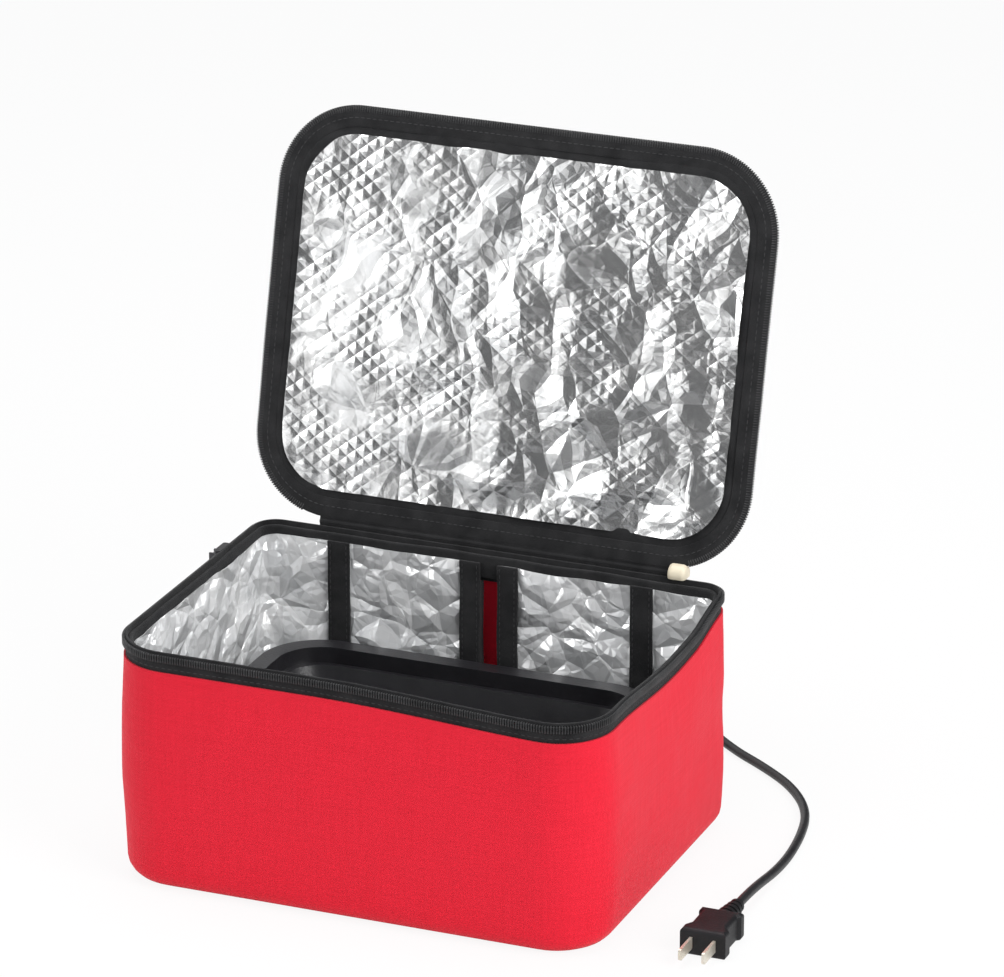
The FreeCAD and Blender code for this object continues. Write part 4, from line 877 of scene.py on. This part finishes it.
def zip_runs(outline):
    """Distances of the teeth round an outline, leaving the hinge's stretch at the rear free."""
    front, rear = quarters(outline)
    whole = 2 * (front + rear) - 2 * ZIP_FREE_HALF
    count = round(whole / TOOTH_PITCH)
    return [rear + ZIP_FREE_HALF + whole * (n + 0.5) / count for n in range(count)]


places = []
for run in zip_runs(CHAIN):
    point, out = place_round(run, CHAIN)
    middle = point + out * BAG_TOOTH_OUT + Vector((0, 0, CHAIN_LINE))
    places.append((middle - Vector((0, 0, sag(middle))), out))
bag_teeth = piece("bag_teeth", teeth_at(places, BAG_TOOTH), zip_nylon)
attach(bag_teeth, "bag")
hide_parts("bag_zip_chain")

bead_outline = taken_in(CHAIN, -BEAD_DEPTH)
bead_ends = (CHAIN_LINE - BEAD_HEIGHT / 2, CHAIN_LINE + BEAD_HEIGHT / 2)
bm = band(bead_outline, BEAD_DEPTH + BEAD_LAP, *bead_ends, BEAD_EDGE)
centres = {face: face.calc_center_median() for face in bm.faces}
at_hinge = [
    face for face, centre in centres.items() if abs(centre.x) < ZIP_FREE_HALF and centre.y > BEAD_REAR
]
bmesh.ops.delete(bm, geom=at_hinge, context="FACES")
for vert in bm.verts:
    vert.co.z -= sag(vert.co)
bag_bead = piece("bag_bead", bm, black_tape)
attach(bag_bead, "bag")
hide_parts("bag_zip_chain")


def rows_round(outline, count, height, out_by):
    """Stitch rows, one stitch long, round an outline at a height."""
    whole_round = 2 * sum(quarters(outline))
    rows = []
    for number in range(count):
        ends = []
        for run in (whole_round * number / count, whole_round * (number + 1) / count):
            point, out = place_round(run, outline)
            ends.append(point + out * out_by + Vector((0, 0, height)))
        rows.append((*ends, out))
    return rows


bm = sewn(rows_round(CHAIN, RIM_STITCHES, RIM_STITCH_LINE, STITCH_LIFT))
for vert in bm.verts:
    vert.co.z -= sag(vert.co)
rim_stitches = piece("rim_stitches", bm, thread)
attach(rim_stitches, "bag")


# End stop of the zip: a small moulding of cream plastic, cast round the end of the tape. It sits
# on the rim at the right-hand end of the hinge and keeps the slider from running off.
cream_plastic = grain_finish(
    "cream_plastic", (0.82, 0.74, 0.58), (0.74, 0.65, 0.48), 500.0, 0.00015, (0.4, 0.55)
)
dress(cream_plastic, "zip_end_stop")


# Fabric hinge: a strip of black tape, sewn to the rear rim and under the lid's binding, with a
# corded bead on the line that the lid turns on. It bends there as the lid opens and closes.
HINGE_HALF = 0.102
HINGE_Y = 0.101
HINGE_Z = 0.138
HINGE_FOOT = Vector((0, BAG_DEPTH / 2 - 0.0004, 0.1254))
HINGE_LEAF = 0.013
HINGE_THICK = 0.0010
HINGE_BEAD = 0.0015
LID_OPEN = math.radians(104.5)
LID_WAY = Vector((0, -math.cos(LID_OPEN), math.sin(LID_OPEN)))

bm = bmesh.new()
bmesh.ops.create_grid(bm, x_segments=60, y_segments=20, size=0.5)
axis = Vector((0, HINGE_Y, HINGE_Z))
head = axis + LID_WAY * HINGE_LEAF
for vert in bm.verts:
    along = vert.co.y + 0.5
    place = HINGE_FOOT.lerp(axis, along * 2) if along < 0.5 else axis.lerp(head, along * 2 - 1)
    vert.co = Vector((vert.co.x * 2 * HINGE_HALF, place.y, place.z))
bmesh.ops.recalc_face_normals(bm, faces=bm.faces)
thicken(bm, HINGE_THICK)
bead = bmesh.ops.create_cone(
    bm, cap_ends=True, segments=16, radius1=HINGE_BEAD, radius2=HINGE_BEAD, depth=2 * HINGE_HALF
)["verts"]
bmesh.ops.rotate(bm, cent=(0, 0, 0), matrix=Matrix.Rotation(math.pi / 2, 3, "Y"), verts=bead)
bmesh.ops.translate(bm, vec=axis, verts=bead)
hinge_cloth = piece("hinge_cloth", bm, black_tape)
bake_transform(hinge_cloth)
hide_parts("hinge_bead", "hinge_tongue")


# Lid: a padded panel of red fabric over foam, faced with embossed foil, closed all round by a
# rounded black binding, with a flat zip tape sewn on outside it. It is laid out shut and turned
# open about the hinge line.
LID = (0.288, 0.2256, (0.046, 0.046))
LID_BOTTOM = 0.1366
LID_MIDDLE = HINGE_Y - 0.0024 - LID[1] / 2
LID_TAPE = 0.008
LID_TAPE_LAP = 0.003
LID_TAPE_WAVE = 0.0008
LID_BINDING = 0.011
LID_BINDING_TOP = 0.1486
LID_BINDING_EDGE = 0.0038
LID_BINDING_WAVE = 0.0006
LID_BINDING_WANDER = 0.0004
LID_PANEL_IN = 0.01924
LID_COVER_LOW = 0.1472
LID_COVER_TOP = 0.14935
LID_PAD_THICK = 0.009
LID_TOOTH = (TOOTH_LENGTH, 0.0036, 0.0019)
LID_TOOTH_IN = 0.0012
LID_TOOTH_LIFT = 0.0002
LID_SEAM_IN = 0.0062
LID_STITCHES = 264
PANEL_TUCK = 0.004
PAD_SPACING = 0.005
PAD_WRINKLE = 0.0004
PAD_SUNK = 0.0003
FILM_SPACING = 0.0028
FILM_THICK = 0.0004
FILM_SWELL = 0.0045
FILM_WAVE = 0.0016
FILM_CREASE = (0.045, 0.0016)
FILM_PUCKER = (0.02, 0.0012)
FILM_LOWEST = -0.0056
FILM_LOWEST_OVER_RIM = 0.0004
FILM_HIGHEST = 0.0014
FILM_OVER_RIM = (0.046, 0.066)
FILM_TIGHT_SIDE = -0.09
FILM_LOOSE_SIDE = 0.05
FILM_TIGHT = 0.4
EMBOSS_PITCH = 0.0070
EMBOSS_SQUAT = (1.0, 1.25, 1.0)
EMBOSS_WORN = (0.42, 0.66)


def open_lid(bm):
    """Turns what was laid out on the shut lid about the hinge line, to where it stands open."""
    bmesh.ops.rotate(
        bm, cent=(0, HINGE_Y, HINGE_Z), matrix=Matrix.Rotation(-LID_OPEN, 3, "X"), verts=bm.verts
    )


def lay_cloth_flat(bm):
    """A UV map in metres, straight down on the shut lid."""
    layer = bm.loops.layers.uv.new("cloth")
    for face in bm.faces:
        for loop in face.loops:
            loop[layer].uv = (loop.vert.co.x, loop.vert.co.y)


def diamond_emboss(tree):
    """Small pyramids pressed into the lid's film, worn flat in places, and how loose the film is."""
    place = put(tree, "ShaderNodeUVMap", uv_map="cloth").outputs[0]
    squat = put(tree, "ShaderNodeVectorMath", {0: place, 1: EMBOSS_SQUAT}, operation="MULTIPLY")
    turned = put(
        tree,
        "ShaderNodeMapping",
        {
            "Vector": squat.outputs[0],
            "Rotation": (0, 0, math.radians(45)),
            "Scale": (1 / EMBOSS_PITCH,) * 3,
        },
    )
    axes = put(tree, "ShaderNodeSeparateXYZ", {0: turned.outputs[0]}).outputs
    slopes = [maths(tree, "PINGPONG", axes[axis], 0.5) for axis in ("X", "Y")]
    points = maths(tree, "SMOOTH_MIN", *slopes, 0.2)
    left = mapped(tree, mottle(tree, place, 28.0, 2.0), *EMBOSS_WORN)
    across = put(tree, "ShaderNodeSeparateXYZ", {0: place}).outputs["X"]
    slack = mapped(tree, across, FILM_TIGHT_SIDE, FILM_LOOSE_SIDE, FILM_TIGHT)
    return maths(tree, "MULTIPLY", points, left), slack


lid_film = foil_finish("lid_film", 0.9, 0.36, 0.007, (0.16, 0.30), diamond_emboss)

panel_width, panel_length = taken_in(LID, LID_PANEL_IN)[:2]
bm = trimmed_sheet(taken_in(LID, LID_PANEL_IN - PANEL_TUCK), FILM_SPACING)
for vert in bm.verts:
    x, y = vert.co.x, vert.co.y
    near_edge = max(abs(x) / (panel_width / 2), abs(y) / (panel_length / 2))
    soft = noise.fractal(Vector((x * 22, y * 22, 4)), 1.0, 2.0, 2)
    puckers = crease(Vector((x, y, 0.3)), FILM_PUCKER) * near_edge**4
    slack = FILM_TIGHT + (1 - FILM_TIGHT) * ramp(x, FILM_TIGHT_SIDE, FILM_LOOSE_SIDE)
    rise = slack * (FILM_WAVE * soft + crease(Vector((x, y, 0.1)), FILM_CREASE)) + puckers
    pillow = (1 - (2 * x / panel_width) ** 2) * (1 - (2 * y / panel_length) ** 2)
    over_rim = ramp(-y, *FILM_OVER_RIM)
    lowest = FILM_LOWEST + (FILM_LOWEST_OVER_RIM - FILM_LOWEST) * over_rim
    vert.co.z = min(max(rise - FILM_SWELL * max(pillow, 0), lowest), FILM_HIGHEST)
bmesh.ops.translate(bm, vec=(0, LID_MIDDLE, LID_BOTTOM - 0.0002), verts=bm.verts)
bmesh.ops.reverse_faces(bm, faces=bm.faces)
lay_cloth_flat(bm)
thicken(bm, FILM_THICK)
open_lid(bm)
lid_facing = piece("lid_facing", bm, lid_film)
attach(lid_facing, "lid")
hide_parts("lid_foil")

pad_outline = taken_in(LID, LID_PANEL_IN - PANEL_TUCK / 2)
pad_width, pad_length = pad_outline[:2]
bm = trimmed_sheet(pad_outline, PAD_SPACING)
for vert in bm.verts:
    x, y = vert.co.x, vert.co.y
    crown = (1 - (2 * abs(x) / pad_width) ** 6) * (1 - (2 * abs(y) / pad_length) ** 6)
    wrinkle = PAD_WRINKLE * noise.fractal(Vector((x * 20, y * 20, 9)), 1.0, 2.0, 3) - PAD_SUNK
    vert.co.z = LID_COVER_LOW + (LID_COVER_TOP - LID_COVER_LOW) * crown + wrinkle * crown
bmesh.ops.translate(bm, vec=(0, LID_MIDDLE, 0), verts=bm.verts)
bmesh.ops.recalc_face_normals(bm, faces=bm.faces)
lay_cloth_flat(bm)
thicken(bm, LID_PAD_THICK)
open_lid(bm)
lid_pad = piece("lid_pad", bm, red_cloth)
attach(lid_pad, "lid")
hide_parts("lid_cover", "lid_foam")

roll_outline = taken_in(LID, LID_TAPE + 0.0001)
roll_ends = (LID_BOTTOM + 0.0002, LID_BINDING_TOP)
bm = band(roll_outline, LID_BINDING, *roll_ends, LID_BINDING_EDGE, LID_MIDDLE)
for vert in bm.verts:
    vert.co.z += LID_BINDING_WAVE * noise.noise(vert.co * 45)
    vert.co.x += LID_BINDING_WANDER * noise.noise(vert.co * 60 + Vector((5, 0, 0)))
open_lid(bm)
lid_roll = piece("lid_roll", bm, black_tape)
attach(lid_roll, "lid")
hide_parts("lid_binding")


def tape_wave(place):
    """How far the lid's flat zip tape lifts and dips at a place on the shut lid."""
    return LID_TAPE_WAVE * noise.noise(place * 24)


tape_ends = (LID_BOTTOM, LID_BOTTOM + TAPE_THICK)
bm = band(taken_in(LID, 0.0), LID_TAPE + LID_TAPE_LAP, *tape_ends, TAPE_EDGE, LID_MIDDLE)
for vert in bm.verts:
    vert.co.z += tape_wave(vert.co)
open_lid(bm)
lid_band_tape = piece("lid_band_tape", bm, black_tape)
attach(lid_band_tape, "lid")
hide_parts("lid_zip_tape")

places = []
for run in zip_runs(LID):
    point, out = place_round(run, LID)
    lift = LID_TOOTH_LIFT + tape_wave(point + Vector((0, LID_MIDDLE, LID_BOTTOM)))
    raised = Vector((0, LID_MIDDLE, LID_BOTTOM + TAPE_THICK / 2 + lift))
    places.append((point - out * LID_TOOTH_IN + raised, out))
bm = teeth_at(places, LID_TOOTH)
open_lid(bm)
lid_teeth = piece("lid_teeth", bm, zip_nylon)
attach(lid_teeth, "lid")
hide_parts("lid_zip_chain")

lines = rows_round(taken_in(LID, LID_SEAM_IN), LID_STITCHES, LID_BOTTOM - STITCH_LIFT, 0.0)
bm = sewn([(start, end, (0, 0, -1)) for start, end, out in lines])
bmesh.ops.translate(bm, vec=(0, LID_MIDDLE, 0), verts=bm.verts)
for vert in bm.verts:
    vert.co.z += tape_wave(vert.co)
open_lid(bm)
lid_stitches = piece("lid_stitches", bm, thread)
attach(lid_stitches, "lid")


# Carry strap: flat black webbing on the outside of the lid, its two ends sewn down with a boxed
# cross of thread and the middle standing up in an arch for the hand.
STRAP_WIDTH = 0.025
STRAP_THICK = 0.0018
STRAP_HALF = 0.059
STRAP_BEND = 0.015
STRAP_RISE = 0.020
STRAP_SEWN = 0.024
STRAP_LOW = 0.14956
ARCH_SHARE = 0.74
CROSS_IN = 0.0025
CROSS_FROM_ARCH = 0.0030

black_webbing = cloth_finish(
    "black_webbing", (0.034, 0.034, 0.036), (0.014, 0.014, 0.015), 800.0, 0.3
)

bm = bmesh.new()
bmesh.ops.create_grid(bm, x_segments=120, y_segments=8, size=0.5)
layer = bm.loops.layers.uv.new("cloth")
length = 2 * (STRAP_HALF + STRAP_SEWN + 0.5 * STRAP_RISE)
for face in bm.faces:
    for loop in face.loops:
        loop[layer].uv = (loop.vert.co.x * length, loop.vert.co.y * STRAP_WIDTH)
arch_foot, arch_bend = Vector((STRAP_HALF, 0)), Vector((STRAP_HALF - STRAP_BEND, 0))
arch_rise = Vector((0, STRAP_RISE))
for vert in bm.verts:
    out = abs(vert.co.x) * 2
    if out < ARCH_SHARE:
        down = out / ARCH_SHARE
        up = 1 - down
        x, z = (
            down**3 * arch_foot
            + 3 * down**2 * up * arch_bend
            + 3 * down * up**2 * (arch_bend + arch_rise)
            + up**3 * arch_rise
        )
    else:
        x, z = STRAP_HALF + (out - ARCH_SHARE) / (1 - ARCH_SHARE) * STRAP_SEWN, 0.0
    vert.co = Vector((math.copysign(x, vert.co.x), LID_MIDDLE + vert.co.y * STRAP_WIDTH, STRAP_LOW + z))
bmesh.ops.recalc_face_normals(bm, faces=bm.faces)
thicken(bm, -STRAP_THICK)
open_lid(bm)
strap = piece("strap", bm, black_webbing)
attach(strap, "lid")
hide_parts("carry_strap")

rows = []
top = STRAP_LOW + STRAP_THICK + STITCH_LIFT
low, high = [LID_MIDDLE + side * (STRAP_WIDTH / 2 - CROSS_IN) for side in (-1, 1)]
for side in (-1, 1):
    near = side * (STRAP_HALF + CROSS_FROM_ARCH)
    far = side * (STRAP_HALF + STRAP_SEWN - CROSS_IN)
    corners = [(near, low, top), (far, low, top), (far, high, top), (near, high, top)]
    for start, end in ((0, 1), (1, 2), (2, 3), (3, 0), (0, 2), (1, 3)):
        rows.append((corners[start], corners[end], (0, 0, 1)))
bm = sewn(rows)
open_lid(bm)
strap_stitches = piece("strap_stitches", bm, thread)
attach(strap_stitches, "lid")


# Zip slider and pull: die-cast metal with a dull black coat. The slider hooks over the bag's teeth
# at the rear of the left side, and the flat pull hangs by its eye on a pin between two ears.
slider_metal = grain_finish(
    "slider_metal", (0.10, 0.10, 0.105), (0.06, 0.06, 0.064), 800.0, 0.00012, (0.28, 0.45), metal=1.0
)
dress(slider_metal, "zip_slider", "zip_pull")


# Heating plate: a moulded slate-grey skirt on four corner feet, with a smooth coated aluminium
# sheet let into its top, a folded heating strip and felt under that, and a pan screwed on below.
housing_plastic = grain_finish(
    "housing_plastic", (0.036, 0.042, 0.053), (0.027, 0.032, 0.041), 1400.0, 0.00012, (0.36, 0.5)
)
dress(housing_plastic, "plate_housing")
coated_sheet = grain_finish(
    "coated_sheet",
    (0.25, 0.265, 0.27),
    (0.225, 0.24, 0.245),
    2200.0,
    0.00003,
    (0.16, 0.24),
    metal=0.35,
    settings={"Coat Weight": 0.4, "Coat Roughness": 0.12},
)
dress(coated_sheet, "plate_sheet")
element_steel = grain_finish(
    "element_steel", (0.42, 0.40, 0.38), (0.30, 0.27, 0.25), 1500.0, 0.00005, (0.3, 0.5), metal=1.0
)
dress(element_steel, "heating_element", "plate_screws")
pale_felt = grain_finish(
    "pale_felt", (0.62, 0.60, 0.55), (0.50, 0.48, 0.43), 1100.0, 0.0006, (0.9, 1.0)
)
dress(pale_felt, "heater_felt")
thermostat_case = grain_finish(
    "thermostat_case", (0.10, 0.055, 0.035), (0.07, 0.038, 0.024), 900.0, 0.0001, (0.35, 0.5)
)
dress(thermostat_case, "thermostat")
pan_aluminium = grain_finish(
    "pan_aluminium", (0.72, 0.73, 0.74), (0.60, 0.61, 0.62), 1800.0, 0.00006, (0.32, 0.5), metal=1.0
)
dress(pan_aluminium, "sheet_pan")
black_rubber = grain_finish(
    "black_rubber", (0.030, 0.030, 0.031), (0.019, 0.019, 0.020), 1000.0, 0.00018, (0.55, 0.75)
)
dress(black_rubber, "plate_gland")


# Food tray: one thin sheet of black plastic, drawn down hot from a flat flange, with a step inside.
# It stands loose on the heating plate.
tray_plastic = grain_finish(
    "tray_plastic", (0.017, 0.0165, 0.019), (0.011, 0.0105, 0.0125), 900.0, 0.0001, (0.26, 0.4)
)
dress(tray_plastic, "food_tray")


# Cord: a grey-black mains lead with a smooth jacket. It leaves the rear wall by a rubber grommet,
# lies in a tied coil behind the bag and runs round its right side on the floor. Inside the wall, a
# short stretch goes on to the plate and draws out as the plate is lifted.
CORD_DIAMETER = 0.005
CORD_EXIT = (0.0, 0.1246, 0.0221)
COIL_FIRST = (0.0, 0.1866, 0.00342)
COIL_RADIUS = 0.0385
COIL_PITCH = 0.0056
COIL_HALF_TURNS = 6
POINTS_IN_HALF_TURN = 7
LAST_POINTS = 3
LEAD_FAR = Vector((0, 0.0984, CORD_EXIT[2]))
LEAD_NEAR = Vector((0, 0.0929, CORD_EXIT[2]))
ROUTE_IN = [CORD_EXIT, (0.0, 0.1426, 0.0221), (0.0, 0.1686, 0.00342), COIL_FIRST]
ROUTE_OUT = [
    (0.0385, 0.2251, 0.00902),
    (0.0565, 0.2251, 0.00902),
    (0.0820, 0.2090, 0.00440),
    (0.1100, 0.1845, 0.00262),
    (0.1340, 0.1680, 0.00262),
    (0.1580, 0.1475, 0.00262),
    (0.1765, 0.1190, 0.00262),
    (0.1845, 0.0840, 0.00262),
    (0.1875, 0.0460, 0.00262),
    (0.1860, 0.0020, 0.00750),
    (0.1860, -0.0160, 0.00750),
]

dress(black_rubber, "wall_grommet")
cord_jacket = grain_finish(
    "cord_jacket", (0.024, 0.025, 0.027), (0.015, 0.015, 0.017), 700.0, 0.0001, (0.36, 0.52)
)

bm = bmesh.new()
bmesh.ops.create_cone(
    bm,
    cap_ends=True,
    segments=16,
    radius1=CORD_DIAMETER / 2,
    radius2=CORD_DIAMETER / 2,
    depth=(LEAD_FAR - LEAD_NEAR).length,
)
bmesh.ops.rotate(bm, cent=(0, 0, 0), matrix=Matrix.Rotation(math.pi / 2, 3, "X"), verts=bm.verts)
bmesh.ops.translate(bm, vec=(LEAD_FAR + LEAD_NEAR) / 2, verts=bm.verts)
long_edges = [edge for edge in bm.edges if abs(edge.verts[0].co.y - edge.verts[1].co.y) > 0.004]
bmesh.ops.subdivide_edges(bm, edges=long_edges, cuts=31, use_grid_fill=True)
wall_lead = piece("wall_lead", bm, cord_jacket)
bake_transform(wall_lead)
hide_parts("inner_lead")


def half_turn(left, side, radius, steps, climb):
    """Points on half a turn of the coil, which starts at left and goes by the rear or the front."""
    reach = side * radius / math.cos(math.pi / (2 * POINTS_IN_HALF_TURN))
    points = []
    for step in range(steps):
        share = (step + 0.5) / POINTS_IN_HALF_TURN
        x = left + side * radius - reach * math.cos(math.pi * share)
        y = COIL_FIRST[1] + reach * math.sin(math.pi * share)
        points.append((x, y, COIL_FIRST[2] + COIL_PITCH * min(max(climb + share, 0), 1)))
    return points


inwards = [COIL_RADIUS - n * COIL_PITCH / 2 for n in range(COIL_HALF_TURNS + 1)]
coil_points = []
left, side = COIL_FIRST[0], 1
for number, radius in enumerate(inwards + inwards[-2:0:-1]):
    coil_points += half_turn(left, side, radius, POINTS_IN_HALF_TURN, number - COIL_HALF_TURNS)
    left += 2 * side * radius
    side = -side
coil_points += half_turn(COIL_FIRST[0], 1, COIL_RADIUS, LAST_POINTS, 1)

route = ROUTE_IN + coil_points + ROUTE_OUT
line = bpy.data.curves.new("cord", "CURVE")
line.dimensions = "3D"
line.bevel_depth = CORD_DIAMETER / 2
line.bevel_resolution = 5
line.resolution_u = 8
line.use_fill_caps = True
spline = line.splines.new("NURBS")
spline.points.add(len(route) - 1)
for point, place in zip(spline.points, route):
    point.co = (*place, 1.0)
spline.order_u = 3
spline.use_endpoint_u = True
line.materials.append(cord_jacket)
cord = bpy.data.objects.new("cord", line)
bpy.context.scene.collection.objects.link(cord)
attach(cord, "bag")
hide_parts("cord_lead_in", "cord_coil", "cord_lead_out")


# Tie and plug: a soft plastic strap round the coil, and a moulded two-blade plug with a ribbed
# strain relief. The blades are folded brass.
tie_plastic = grain_finish(
    "tie_plastic", (0.05, 0.05, 0.052), (0.03, 0.03, 0.032), 900.0, 0.0001, (0.4, 0.6)
)
dress(tie_plastic, "cord_tie")
plug_plastic = grain_finish(
    "plug_plastic",
    (0.018, 0.018, 0.020),
    (0.011, 0.011, 0.012),
    1100.0,
    0.00014,
    (0.4, 0.55),
    settings={"Specular IOR Level": 0.22},
)
dress(plug_plastic, "plug_body", "plug_relief")
blade_brass = grain_finish(
    "blade_brass", (0.84, 0.80, 0.71), (0.76, 0.70, 0.58), 2000.0, 0.00004, (0.36, 0.5), metal=0.75
)
dress(blade_brass, "plug_blades")
